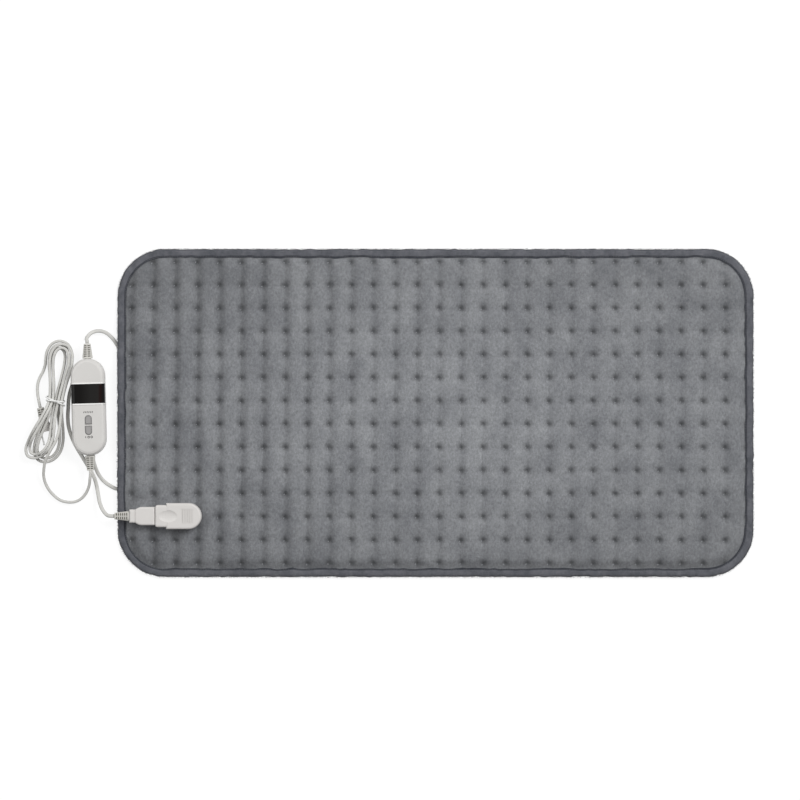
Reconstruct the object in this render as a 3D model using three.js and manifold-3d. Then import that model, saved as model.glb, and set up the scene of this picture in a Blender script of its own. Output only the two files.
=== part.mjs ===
// A tufted heating pad with a plug-in lead, a hand controller and a mains lead, in millimetres.
// The origin is the middle of the pad's flat underside. +X runs along the pad to the right,
// +Y across it and +Z up from the table. The controller and the leads lie to the pad's left.

import * as THREE from "three";
import { mergeVertices } from "three/addons/utils/BufferGeometryUtils.js";
import Module from "manifold-3d";

const wasm = await Module();
wasm.setup();

// Shared clearances and cutting allowance
const seatGap = 0.3; // between pieces that touch
const overrun = 4; // how far a cutting tool runs past what it cuts
const roundSides = 16; // facets of a small round piece
const smallSides = 12;

// Pad
const padLength = 838;
const padWidth = 432;
const padCornerRadius = 62;
const tapeWidth = 11;
const tapeThickness = 1;
const tapeFold = 1.2; // rounding of the folded edge
const edgeThickness = 5.7; // binding and everything in it
const edgeInset = 3; // cover's edge behind the fold
const seamMargin = 1; // seam behind the tape's inner edge
const tuftMargin = 17.5; // first tufts from the pad's edge
const tuftColumns = 29;
const tuftRows = 14;
const bottomCoverThickness = 1.2;
const bottomEdgeThickness = 1;
const carrierThickness = 1.2;
const wireDiameter = 1.6;
const tuftHeight = 6.2; // top cover at a tuft
const crownHeight = 9.4; // top cover between tufts

// The pad's left edge rides over the lead that lies under it
const liftHeight = 4.8;
const liftRowShares = [0, 0, 0, 0.85, 1, 1, 1, 1, 1, 1, 1, 0.15, 0, 0];
const liftColumnShares = [1, 0.4, 0];

// Heating wire and its cut-out
const wireFirstColumn = 3;
const wireLastColumn = 26;
const wireReturnColumn = 2;
const wireSides = 6;
const wireBendSteps = 4;
const wireEndSpacing = 8;
const cutoutLength = 14;
const cutoutWidth = 7;
const cutoutColumn = 4.5;

// Connector: socket on the pad and the plug in it
const connectorRest = 9.3; // underside of both above the table
const connectorFromEdge = 50.7; // mouth of the socket, from the pad's left edge
const connectorCentreY = -135.3;
const socketStepLength = 14.5;
const socketStepWidth = 29;
const socketStepThickness = 14.2;
const socketLength = 60.7;
const socketWidth = 34;
const socketThickness = 14.6;
const socketRounding = 2.4;
const socketCornerRadius = 3.2;
const socketFloorSplit = 6.6; // height of the parting line
const dishCentre = 16.5; // thumb dish behind the mouth
const dishLength = 30;
const dishWidth = 19;
const dishDepth = 1.8;
const gripCount = 5;
const gripPitch = 3.1;
const gripWidth = 1.2;
const gripDepth = 0.7;
const gripLength = 19;
const gripStart = 36;
const footDiameter = 9;
const noseLength = 12.5;
const noseWidth = 19;
const noseThickness = 8;
const noseClearance = 0.4;
const pinDiameter = 2;
const pinLength = 26;
const pinSpacing = 9;
const pinReach = 8; // beyond the nose
const contactWall = 0.7;
const contactClearance = 0.35;
const contactLength = 9.5;
const plugBodyLength = 26.2;
const plugBodyWidth = 24;
const plugWaistLength = 7.8;
const plugWaistWidth = 17.5;
const plugThickness = 12.6;
const plugRounding = 2.2;

// Controller
const controllerFromEdge = -37.1;
const controllerY = 7.9;
const controllerRest = 3.8; // it lies on the lead under it
const controllerLean = 1.5; // degrees
const controllerLength = 127.4;
const controllerWidth = 44.6;
const controllerThickness = 20;
const controllerRounding = 5;
const controllerWall = 2.2;
const controllerSplit = 8.4;
const endWallExtra = 1.4;
const leastRounding = 1;
const windowLength = 25;
const windowCentreY = 17.6;
const windowThickness = 1.5;
const windowSkirt = 1; // above the parting line
const ridgeWidth = 1.9;
const ridgeHeight = 0.6;
const moduleLength = 19;
const moduleWidth = 33;
const moduleThickness = 4;
const moduleLeg = 1;
const boardEndGap = 1.7; // to the nearest screw bosses
const boardWidth = 36;
const boardThickness = 1.6;
const boardCornerRadius = 3;
const boardHeight = 7; // board's underside above the back
const boardCentreY = -1;
const postDiameter = 4;
const postInsetX = 4;
const postInsetY = 5;
const buttonWidth = 8;
const buttonLength = 11;
const buttonSpacing = 2.8; // bar between the two buttons
const buttonCentreY = -23.6; // middle of that bar
const buttonProud = 0.7;
const buttonTravel = 0.8;
const buttonFlange = 1;
const buttonFlangeThickness = 1;
const buttonRounding = 0.5;
const stemDiameter = 3;
const switchSide = 6;
const switchHeight = 3.4;
const plungerDiameter = 3.4;
const plungerHeight = 0.8;
const relayLength = 15;
const relayWidth = 10;
const relayHeight = 7;
const relayCentreY = -2;
const relayCentreX = -9;
const fuseLength = 13;
const fuseDiameter = 4.6;
const fuseCentreX = 9;
const screwInsetX = 12.5;
const screwInsetY = 17.2;
const screwHead = 4.4;
const screwHeadHeight = 1.6;
const screwShank = 2.2;
const screwLength = 11;
const screwRecess = 1.9;
const bossDiameter = 5.6;

// Strain reliefs
const reliefLength = 19.4;
const reliefCollar = 1.6;
const reliefThinWidth = 8.6;
const reliefThinHeight = 6;
const reliefRootWidth = 13;
const reliefRootHeight = 9.4;
const reliefRows = 6;
const slotWidth = 2.9;
const slotLength = 1.45;
const slotDepth = 1.5;
const slotSpacing = 1.3; // spine between the two columns of slots
const neckWidth = 8.4;
const neckHeight = 6.4;
const neckRoot = 0.5;
const anchorWidth = 12.5;
const anchorHeight = 9;
const anchorThickness = 2.2;

// Two-core lead
const leadWide = 5.4;
const leadThick = 3.3;
const leadSides = 8;
const leadStep = 13;
const hankLeadStep = 9; // where a lead climbs on or off the hank
const tableGap = 0.1; // under a lead that lies on the table

// Hank
const hankFromEdge = -82.3;
const hankY = 15.8;
const hankStart = 0.375; // turns, from the bottom of the first loop
const hankTurn = 2.75; // where the spiral reverses
const hankEnd = 4.75;
const climbTurns = 0.25; // half of the run in which it climbs
const hankPitch = 4.3; // at the waist
const hankEndPitch = 4.8; // at the ends
const hankWaist = 0.8;
const firstUpperLength = 68.5; // first layer's lobes
const firstLowerLength = 72;
const firstUpperSwell = 17;
const firstLowerSwell = 25;
const firstUpperLeanShare = 0.13;
const firstLowerLeanShare = 0.12;
const secondUpperLength = 66.5; // second layer's lobes
const secondLowerLength = 69;
const secondUpperSwell = 16.5;
const secondLowerSwell = 26;
const secondUpperLeanShare = 0.18;
const secondLowerLeanShare = 0.31;
const changeBefore = 0.12; // turns in which one layer's lobes pass into the other's
const changeAfter = 0.02;
const hankSwellPitch = 5;
const hankBow = 1400; // radius that the leaning hank bows on, doubled
const hankLayerGap = 0.9;
const hankLoopSteps = 24;
const tangentTurns = 0.002;
const hankSides = 6;
const waistLift = 4.2; // the plug under the hank props it up
const waistReach = 38;
const slopeStep = 0.5;
const waistLeftTurns = 1.5;
const waistRightTurns = 2;
const plugHumpReach = 15;
const plugHumpSpare = 1.1;
const plugRiseReach = 19; // below the tie
const rightHumpShare = 0.56; // of the rise over the plug, on the second layer's right side
const rightHumpFrom = 0.55; // of the way to the lobe's end, squared, where it grows to the whole
const rightHumpReach = 0.3;
const gapRingsApart = 3;
const gapSamples = 8;
const leastSelfGap = 0.4;

// Tie round the waist
const tieDiameter = 1.1;
const tieTurns = 2;
const tiePitch = 2.6;
const tieSpare = 1.1; // the hank's waist is a little bowed
const tieCornerRadius = 2.6;
const tieCornerSteps = 4;
const tieSides = 6;

// Mains plug under the hank
const mainsPlugFromEdge = -102.1;
const mainsPlugY = 7;
const mainsPlugHeading = 13.4; // degrees from straight down, to the right
const mainsReliefLength = 12;
const mainsReliefRows = 3;
const mainsPlugLength = 20;
const mainsPlugRootWidth = 10;
const mainsPlugWidth = 18.5;
const mainsPlugRootThickness = 7.8;
const mainsPlugThickness = 8.6;
const mainsPlugRounding = 2;
const mainsPlugShares = [0, 0.3, 0.6, 0.9, 1];
const mainsPlugSwellShare = 1.1;
const bladeLength = 17;
const bladeWidth = 6.35;
const bladeThickness = 1.5;
const bladeSpacing = 12.7;
const bladeRoot = 6;
const bladeHoleDiameter = 3;
const bladeHoleInset = 4;

const finishes = {
  plush: [0x74767a, 0.95, 0],
  binding: [0x5d6067, 0.95, 0],
  cloth: [0x6a6c70, 0.9, 0],
  felt: [0xe8e4da, 0.95, 0],
  wire: [0xf2efe9, 0.6, 0],
  shell: [0xd2d0cd, 0.45, 0],
  connector: [0xdcdad8, 0.45, 0],
  lead: [0xb4b4b2, 0.55, 0],
  relief: [0xaaa9a4, 0.6, 0],
  button: [0x9b9999, 0.6, 0],
  window: [0x14110f, 0.12, 0],
  board: [0x2f6b3c, 0.5, 0],
  part: [0x202020, 0.5, 0],
  metal: [0xc9c6bf, 0.3, 0.9],
  tie: [0xe6e6e2, 0.5, 0],
};

const pad = new THREE.Group();
const socket = new THREE.Group();
const plug = new THREE.Group();
const controller = new THREE.Group();
const mainsPlug = new THREE.Group();
const leads = new THREE.Group();

function addPiece(group, name, geometry, finish) {
  const [color, roughness, metalness] = finishes[finish];
  const mesh = new THREE.Mesh(geometry, new THREE.MeshStandardMaterial({ color, roughness, metalness }));
  mesh.name = name;
  group.add(mesh);
  return mesh;
}

// Solids: joining and cutting closed meshes

function solidOf(geometry) {
  const bare = geometry.clone();
  bare.deleteAttribute("normal");
  bare.deleteAttribute("uv");
  const merged = mergeVertices(bare);
  return new wasm.Manifold(
    new wasm.Mesh({
      numProp: 3,
      vertProperties: new Float32Array(merged.attributes.position.array),
      triVerts: new Uint32Array(merged.index.array),
    }),
  );
}

function geometryOf(solid) {
  const mesh = solid.getMesh();
  const geometry = new THREE.BufferGeometry();
  geometry.setAttribute("position", new THREE.BufferAttribute(new Float32Array(mesh.vertProperties), 3));
  geometry.setIndex(new THREE.BufferAttribute(new Uint32Array(mesh.triVerts), 1));
  geometry.computeVertexNormals();
  return geometry;
}

function joined(first, ...others) {
  return others.reduce((all, one) => all.add(one), first);
}

function without(body, ...tools) {
  return tools.reduce((left, tool) => left.subtract(tool), body);
}

function boxSolid(sizeX, sizeY, sizeZ, x, y, z) {
  return solidOf(new THREE.BoxGeometry(sizeX, sizeY, sizeZ).translate(x, y, z + sizeZ / 2));
}

function upright(diameter, height, x, y, z, sides = roundSides) {
  const geometry = new THREE.CylinderGeometry(diameter / 2, diameter / 2, height, sides);
  return solidOf(geometry.rotateX(Math.PI / 2).translate(x, y, z + height / 2));
}

function alongX(diameter, length, x, y, z, sides = roundSides) {
  const geometry = new THREE.CylinderGeometry(diameter / 2, diameter / 2, length, sides);
  return solidOf(geometry.rotateZ(Math.PI / 2).translate(x + length / 2, y, z));
}

// A closed mesh from its points and triangles, with its faces turned outwards
function closedMesh(points, triangles) {
  const geometry = new THREE.BufferGeometry();
  let volume = 0;
  const [a, b, c] = [new THREE.Vector3(), new THREE.Vector3(), new THREE.Vector3()];
  for (let at = 0; at < triangles.length; at += 3) {
    a.copy(points[triangles[at]]);
    b.copy(points[triangles[at + 1]]);
    c.copy(points[triangles[at + 2]]);
    volume += a.dot(b.cross(c));
  }
  const order = volume < 0 ? triangles.slice().reverse() : triangles;
  geometry.setAttribute("position", new THREE.Float32BufferAttribute(points.flatMap((p) => p.toArray()), 3));
  geometry.setIndex(order);
  geometry.computeVertexNormals();
  return geometry;
}

// A skin through rings of equally many points, with flat ends or joined end to end
function loft(rings, endless = false) {
  const count = rings[0].length;
  const triangles = [];
  const spans = endless ? rings.length : rings.length - 1;
  for (let ring = 0; ring < spans; ring += 1) {
    const start = ring * count;
    const next = ((ring + 1) % rings.length) * count;
    for (let side = 0; side < count; side += 1) {
      const other = (side + 1) % count;
      triangles.push(start + side, start + other, next + other);
      triangles.push(start + side, next + other, next + side);
    }
  }
  const end = (rings.length - 1) * count;
  for (let side = 1; side < count - 1 && !endless; side += 1) {
    triangles.push(0, side + 1, side);
    triangles.push(end, end + side, end + side + 1);
  }
  return closedMesh(rings.flat(), triangles);
}

// Points round a rectangle with round corners, in the plane that the place function gives
function roundedRing(halfWidth, halfHeight, radius, cornerSteps, place) {
  const ring = [];
  for (let corner = 0; corner < 4; corner += 1) {
    const signX = corner === 0 || corner === 3 ? 1 : -1;
    const signY = corner < 2 ? 1 : -1;
    for (let step = 0; step <= cornerSteps; step += 1) {
      const angle = ((corner + step / cornerSteps) * Math.PI) / 2;
      const across = signX * (halfWidth - radius) + radius * Math.cos(angle);
      const up = signY * (halfHeight - radius) + radius * Math.sin(angle);
      ring.push(place(across, up));
    }
  }
  return ring;
}

// A flat-bottomed block with the outline of a shape and rounded edges, from z = 0 to its height
function slab(shape, height, rounding, steps = 3, curveSegments = 12) {
  const geometry = new THREE.ExtrudeGeometry(shape, {
    depth: height - 2 * rounding,
    bevelEnabled: true,
    bevelThickness: rounding,
    bevelSize: rounding,
    bevelOffset: -rounding,
    bevelSegments: steps,
    curveSegments,
  });
  return solidOf(geometry.translate(0, 0, rounding));
}

// A tube of oval section through points, kept level by an up direction
function tubeThrough(points, halfAcross, halfUp, sides, up = new THREE.Vector3(0, 0, 1)) {
  const rings = points.map((point, at) => {
    const before = points[Math.max(at - 1, 0)];
    const after = points[Math.min(at + 1, points.length - 1)];
    const ahead = after.clone().sub(before).normalize();
    const across = ahead.clone().cross(up).normalize();
    const rise = across.clone().cross(ahead);
    return Array.from({ length: sides }, (_, side) => {
      const angle = ((side + 0.5) / sides) * 2 * Math.PI;
      const out = point.clone().addScaledVector(across, halfAcross * Math.cos(angle));
      return out.addScaledVector(rise, halfUp * Math.sin(angle));
    });
  });
  return loft(rings);
}

// An even rise from 0 to 1
function smoothStep(share) {
  const held = Math.min(Math.max(share, 0), 1);
  return held * held * (3 - 2 * held);
}

// Pad: every layer has the same net of tufts, so they nest over the lead alike

const padLeft = -padLength / 2; // what lies beside the pad keeps its distance from this edge
const connectorCentreX = padLeft + connectorFromEdge;
const controllerX = padLeft + controllerFromEdge;
const hankX = padLeft + hankFromEdge;
const mainsPlugX = padLeft + mainsPlugFromEdge;
const columnPitch = (padLength - 2 * tuftMargin) / (tuftColumns - 1);
const rowPitch = (padWidth - 2 * tuftMargin) / (tuftRows - 1);
const seamInset = tapeWidth + seamMargin;
const bottomEdge = tapeThickness + seatGap; // cover's underside inside the tape
const topEdgeLow = bottomEdge + bottomEdgeThickness + seatGap;
const topEdgeHigh = edgeThickness - tapeThickness - seatGap;
const carrierLow = bottomCoverThickness + seatGap;
const wireLow = carrierLow + carrierThickness + seatGap;
const topCoverLow = wireLow + wireDiameter + seatGap;
const liftColumns = liftColumnShares.length - 1;

function columnX(column) {
  return -padLength / 2 + tuftMargin + column * columnPitch;
}

function rowY(row) {
  return -padWidth / 2 + tuftMargin + row * rowPitch;
}

function shareAt(shares, place) {
  const held = Math.min(Math.max(place, 0), shares.length - 1);
  const low = Math.min(Math.floor(held), shares.length - 2);
  return shares[low] + (shares[low + 1] - shares[low]) * (held - low);
}

function liftAt(x, y) {
  const column = (x - columnX(0)) / columnPitch;
  const row = (y - rowY(0)) / rowPitch;
  return liftHeight * shareAt(liftColumnShares, column) * shareAt(liftRowShares, row);
}

// A point on the pad's outline, drawn in by an inset, nearest to a place on its rim
function onOutline(x, y, inset) {
  const cornerX = padLength / 2 - padCornerRadius;
  const cornerY = padWidth / 2 - padCornerRadius;
  const [signX, signY] = [Math.sign(x), Math.sign(y)];
  if (Math.abs(x) > cornerX && Math.abs(y) > cornerY) {
    const [outX, outY] = [Math.abs(x) - cornerX, Math.abs(y) - cornerY];
    const reach = (padCornerRadius - inset) / Math.hypot(outX, outY);
    return [signX * (cornerX + outX * reach), signY * (cornerY + outY * reach)];
  }
  if (Math.abs(y) > cornerY) return [x, signY * (padWidth / 2 - inset)];
  return [signX * (padLength / 2 - inset), y];
}

function onRim(column, row) {
  return column === 0 || row === 0 || column === tuftColumns - 1 || row === tuftRows - 1;
}

// The rim's columns and rows in order, anticlockwise from the lower left
function rimPlaces() {
  const [lastColumn, lastRow] = [tuftColumns - 1, tuftRows - 1];
  const places = [];
  for (let column = 0; column < lastColumn; column += 1) places.push([column, 0]);
  for (let row = 0; row < lastRow; row += 1) places.push([lastColumn, row]);
  for (let column = lastColumn; column > 0; column -= 1) places.push([column, lastRow]);
  for (let row = lastRow; row > 0; row -= 1) places.push([0, row]);
  return places;
}

// One layer of the pad. Its faces have a height at the tufts, and at the seam and the edge if it
// reaches the tape. A crown function raises the middle of each cell of its upper face.
function padLayer({ low, high, edgeLow, edgeHigh, crownAt }) {
  const points = [];
  const triangles = [];
  const add = (x, y, z) => points.push(new THREE.Vector3(x, y, z + liftAt(x, y))) - 1;
  const rim = rimPlaces();

  const face = (tuftZ, edgeZ, upward, crown) => {
    const put = (a, b, c) => triangles.push(...(upward ? [a, b, c] : [a, c, b]));
    const net = new Map();
    const at = (column, row) => {
      const key = column * tuftRows + row;
      if (!net.has(key)) {
        const [x, y] = onRim(column, row)
          ? onOutline(columnX(column), rowY(row), tuftMargin)
          : [columnX(column), rowY(row)];
        net.set(key, add(x, y, tuftZ));
      }
      return net.get(key);
    };
    const [lastColumn, lastRow] = [tuftColumns - 1, tuftRows - 1];
    for (let row = 0; row < lastRow; row += 1) {
      const cells = crown ? lastColumn : liftColumns;
      for (let column = 0; column < cells; column += 1) {
        const corners = [at(column, row), at(column + 1, row), at(column + 1, row + 1), at(column, row + 1)];
        if (!crown) {
          put(corners[0], corners[1], corners[2]);
          put(corners[0], corners[2], corners[3]);
          continue;
        }
        const middle = corners.reduce((sum, n) => sum.add(points[n]), new THREE.Vector3()).divideScalar(4);
        const peak = points.push(new THREE.Vector3(middle.x, middle.y, crown(middle.x, middle.y))) - 1;
        corners.forEach((corner, side) => put(corner, corners[(side + 1) % 4], peak));
      }
      if (crown) continue;
      // beyond the raised edge a plain face needs only long triangles, which fan out at the rim
      if (row === 0) {
        for (let column = liftColumns; column < lastColumn; column += 1) {
          put(at(column, 0), at(column + 1, 0), at(liftColumns, 1));
        }
        put(at(lastColumn, 0), at(lastColumn, 1), at(liftColumns, 1));
      } else if (row === lastRow - 1) {
        for (let column = liftColumns; column < lastColumn; column += 1) {
          put(at(column, lastRow), at(liftColumns, row), at(column + 1, lastRow));
        }
        put(at(lastColumn, lastRow), at(liftColumns, row), at(lastColumn, row));
      } else {
        put(at(liftColumns, row), at(lastColumn, row), at(lastColumn, row + 1));
        put(at(liftColumns, row), at(lastColumn, row + 1), at(liftColumns, row + 1));
      }
    }
    let outer = rim.map(([column, row]) => at(column, row));
    if (edgeZ === undefined) return outer;
    for (const inset of [seamInset, edgeInset]) {
      const ring = rim.map(([column, row]) => add(...onOutline(columnX(column), rowY(row), inset), edgeZ));
      ring.forEach((corner, n) => {
        const next = (n + 1) % ring.length;
        put(outer[n], corner, ring[next]);
        put(outer[n], ring[next], outer[next]);
      });
      outer = ring;
    }
    return outer;
  };

  const lowRim = face(low, edgeLow, false);
  const highRim = face(high, edgeHigh, true, crownAt);
  lowRim.forEach((corner, n) => {
    const next = (n + 1) % lowRim.length;
    triangles.push(corner, lowRim[next], highRim[next], corner, highRim[next], highRim[n]);
  });
  return closedMesh(points, triangles);
}

// The cover stands up between tufts, but no higher than the underside of the connector on it
function crownAt(x, y) {
  const behindMouth = x - connectorCentreX;
  const under =
    behindMouth > -(plugBodyLength + plugWaistLength + columnPitch / 2) &&
    behindMouth < socketLength + columnPitch / 2 &&
    Math.abs(y - connectorCentreY) < (socketWidth + rowPitch) / 2;
  const free = crownHeight + liftAt(x, y);
  return under ? Math.min(free, connectorRest - seatGap) : free;
}

// The tape folds round the edge: one hollow section carried round the outline
function edgeBinding() {
  const section = [
    [tapeWidth, 0],
    [tapeFold, 0],
    [0, tapeFold],
    [0, edgeThickness - tapeFold],
    [tapeFold, edgeThickness],
    [tapeWidth, edgeThickness],
    [tapeWidth, edgeThickness - tapeThickness],
    [tapeThickness, edgeThickness - tapeThickness],
    [tapeThickness, tapeThickness],
    [tapeWidth, tapeThickness],
  ];
  const cornerX = padLength / 2 - padCornerRadius;
  const cornerY = padWidth / 2 - padCornerRadius;
  const cornerSteps = 6;
  const stations = [];
  for (let corner = 0; corner < 4; corner += 1) {
    const centreX = corner === 0 || corner === 3 ? cornerX : -cornerX;
    const centreY = corner < 2 ? cornerY : -cornerY;
    for (let step = 0; step <= cornerSteps; step += 1) {
      const angle = ((corner + step / cornerSteps) * Math.PI) / 2;
      stations.push([centreX, centreY, Math.cos(angle), Math.sin(angle)]);
    }
    if (corner !== 1) continue;
    for (let row = tuftRows - 2; row > 0; row -= 1) {
      if (Math.abs(rowY(row)) < cornerY) stations.push([centreX, rowY(row), -1, 0]);
    }
  }
  const rings = stations.map(([x, y, outX, outY]) =>
    section.map(([inset, z]) => {
      const reach = padCornerRadius - inset;
      const [pointX, pointY] = [x + outX * reach, y + outY * reach];
      return new THREE.Vector3(pointX, pointY, z + liftAt(pointX, pointY));
    }),
  );
  return loft(rings, true);
}

// The wire comes from the socket, runs to and fro between the rows of tufts and comes back
function heatingWire(footX) {
  const z = wireLow + wireDiameter / 2;
  const points = [];
  const add = (x, y) => points.push(new THREE.Vector3(x, y, z));
  const [left, right] = [columnX(wireFirstColumn), columnX(wireLastColumn)];
  const bend = rowPitch / 2;
  const cellY = (row) => rowY(row) + rowPitch / 2;
  const entry = footX + wireEndSpacing / 2;
  const arc = (x, y, from, to, radius = bend) => {
    for (let step = 0; step <= wireBendSteps; step += 1) {
      const angle = THREE.MathUtils.degToRad(from + ((to - from) * step) / wireBendSteps);
      add(x + radius * Math.cos(angle), y + radius * Math.sin(angle));
    }
  };
  add(entry, connectorCentreY);
  arc(entry + bend, cellY(0) + bend, 180, 270);
  for (let row = 0; row < tuftRows - 2; row += 1) {
    const y = cellY(row) + bend;
    if (row % 2 === 0) arc(right, y, -90, 90);
    else arc(left, y, 270, 90);
  }
  const back = columnX(wireReturnColumn);
  arc(back + bend, cellY(tuftRows - 2) - bend, 90, 180);
  arc(back + wireEndSpacing, connectorCentreY + rowPitch, 180, 270, wireEndSpacing);
  arc(footX - wireEndSpacing * 1.5, connectorCentreY + rowPitch - 2 * wireEndSpacing, 90, 0, wireEndSpacing);
  add(footX - wireEndSpacing / 2, connectorCentreY);
  return tubeThrough(points, wireDiameter / 2, wireDiameter / 2, wireSides);
}

// Connector, in a frame with its origin under the mouth of the socket, +X into the socket

const plugMiddle = plugThickness / 2;
const noseCavityLength = noseLength + noseClearance;

function planShape(outline) {
  const shape = new THREE.Shape();
  outline(shape);
  return shape;
}

function rectangleShape(x0, x1, width, radius) {
  return planShape((shape) => {
    const half = width / 2;
    shape.moveTo(x0 + radius, -half);
    shape.lineTo(x1 - radius, -half);
    shape.absarc(x1 - radius, -half + radius, radius, -Math.PI / 2, 0);
    shape.lineTo(x1, half - radius);
    shape.absarc(x1 - radius, half - radius, radius, 0, Math.PI / 2);
    shape.lineTo(x0 + radius, half);
    shape.absarc(x0 + radius, half - radius, radius, Math.PI / 2, Math.PI);
    shape.lineTo(x0, -half + radius);
    shape.absarc(x0 + radius, -half + radius, radius, Math.PI, 1.5 * Math.PI);
  });
}

function socketHousing() {
  const half = socketWidth / 2;
  const body = planShape((shape) => {
    shape.moveTo(socketStepLength, -half);
    shape.lineTo(socketLength - half, -half);
    shape.absarc(socketLength - half, 0, half, -Math.PI / 2, Math.PI / 2);
    shape.lineTo(socketStepLength, half);
    shape.lineTo(socketStepLength, -half);
  });
  const stepShape = rectangleShape(0, socketStepLength + half, socketStepWidth, socketCornerRadius);
  const outer = joined(
    slab(body, socketThickness, socketRounding),
    slab(stepShape, socketStepThickness, socketRounding, 3, 3),
  );
  const cavity = boxSolid(
    noseCavityLength + overrun,
    noseWidth + 2 * noseClearance,
    noseThickness + 2 * noseClearance,
    (noseCavityLength - overrun) / 2,
    0,
    plugMiddle - noseThickness / 2 - noseClearance,
  );
  const contactBore = pinDiameter + 2 * (contactClearance + contactWall + seatGap);
  const bores = [-1, 1].map((side) =>
    alongX(
      contactBore,
      contactLength + 2 * seatGap + overrun,
      noseCavityLength - overrun,
      (side * pinSpacing) / 2,
      plugMiddle,
    ),
  );
  const dish = solidOf(
    new THREE.SphereGeometry(dishLength / 2, 24, 12)
      .scale(1, dishWidth / dishLength, (4 * dishDepth) / dishLength)
      .translate(dishCentre, 0, socketThickness + dishDepth),
  );
  const grips = Array.from({ length: gripCount }, (_, n) =>
    boxSolid(
      gripWidth,
      gripLength,
      overrun,
      gripStart + n * gripPitch,
      0,
      socketThickness - gripDepth,
    ),
  );
  return without(outer, cavity, ...bores, dish, ...grips);
}

function halves(body, split, reach) {
  const lower = boxSolid(reach, reach, reach, 0, 0, split - seatGap / 2 - reach);
  const upper = boxSolid(reach, reach, reach, 0, 0, split + seatGap / 2);
  return [body.intersect(lower), body.intersect(upper)];
}

function addSocket() {
  const housing = socketHousing();
  const [lower, upper] = halves(housing, socketFloorSplit, 4 * socketLength);
  const footLength = connectorRest - topCoverLow;
  const foot = upright(footDiameter, footLength + overrun, dishCentre + footDiameter, 0, -footLength);
  const footTrim = boxSolid(
    footDiameter + overrun,
    footDiameter + overrun,
    overrun,
    dishCentre + footDiameter,
    0,
    plugMiddle - noseThickness / 2 - noseClearance - seatGap,
  );
  addPiece(socket, "socket_lower_shell", geometryOf(joined(lower, without(foot, footTrim))), "connector");
  addPiece(socket, "socket_upper_shell", geometryOf(upper), "connector");
  [-1, 1].forEach((side, n) => {
    const outside = pinDiameter + 2 * (contactClearance + contactWall);
    const start = noseCavityLength + seatGap;
    const y = (side * pinSpacing) / 2;
    const tube = without(
      alongX(outside, contactLength, start, y, plugMiddle),
      alongX(outside - 2 * contactWall, contactLength + 2 * overrun, start - overrun, y, plugMiddle),
    );
    addPiece(socket, `socket_contact_${n + 1}`, geometryOf(tube), "metal");
  });
}

// The plug widens from a waist to its body, and its nose goes into the socket
function addPlug() {
  const [back, waist] = [-(plugBodyLength + plugWaistLength), -plugBodyLength];
  const front = -seatGap;
  const halfWaist = plugWaistWidth / 2;
  const halfBody = plugBodyWidth / 2;
  const taperEnd = waist + plugBodyLength / 3;
  const body = planShape((shape) => {
    shape.moveTo(back, -halfWaist);
    shape.lineTo(waist, -halfWaist);
    shape.quadraticCurveTo((waist + taperEnd) / 2, -halfBody, taperEnd, -halfBody);
    shape.lineTo(front, -halfBody);
    shape.lineTo(front, halfBody);
    shape.lineTo(taperEnd, halfBody);
    shape.quadraticCurveTo((waist + taperEnd) / 2, halfBody, waist, halfWaist);
    shape.lineTo(back, halfWaist);
    shape.lineTo(back, -halfWaist);
  });
  const nose = boxSolid(
    noseLength + overrun,
    noseWidth,
    noseThickness,
    (noseLength - overrun) / 2,
    0,
    plugMiddle - noseThickness / 2,
  );
  const collarSlot = without(
    boxSolid(gripWidth, 2 * plugBodyWidth, plugThickness, waist, 0, 0),
    boxSolid(
      2 * gripWidth,
      plugWaistWidth - 2 * gripDepth,
      plugThickness - 2 * gripDepth,
      waist,
      0,
      gripDepth,
    ),
  );
  const pinTip = noseLength + pinReach;
  const bores = [-1, 1].map((side) =>
    alongX(
      pinDiameter + 2 * seatGap,
      pinLength + seatGap + overrun,
      pinTip - pinLength - seatGap,
      (side * pinSpacing) / 2,
      plugMiddle,
    ),
  );
  const whole = without(joined(slab(body, plugThickness, plugRounding), nose), collarSlot, ...bores);
  const [lower, upper] = halves(whole, plugMiddle, 4 * socketLength);
  addPiece(plug, "plug_lower_shell", geometryOf(lower), "connector");
  addPiece(plug, "plug_upper_shell", geometryOf(upper), "connector");
  [-1, 1].forEach((side, n) => {
    const shaft = pinLength - pinDiameter / 2;
    const y = (side * pinSpacing) / 2;
    const tip = solidOf(
      new THREE.SphereGeometry(pinDiameter / 2, roundSides, roundSides / 2)
        .rotateZ(Math.PI / 2)
        .translate(pinTip - pinDiameter / 2, y, plugMiddle),
    );
    const pin = joined(alongX(pinDiameter, shaft, pinTip - pinLength, y, plugMiddle), tip);
    addPiece(plug, `plug_pin_${n + 1}`, geometryOf(pin), "metal");
  });
  const relief = strainRelief({ length: reliefLength, rows: reliefRows })
    .rotate([0, 0, 90])
    .translate([back - seatGap, 0, plugMiddle]);
  addPiece(plug, "plug_strain_relief", geometryOf(relief), "relief");
}

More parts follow.
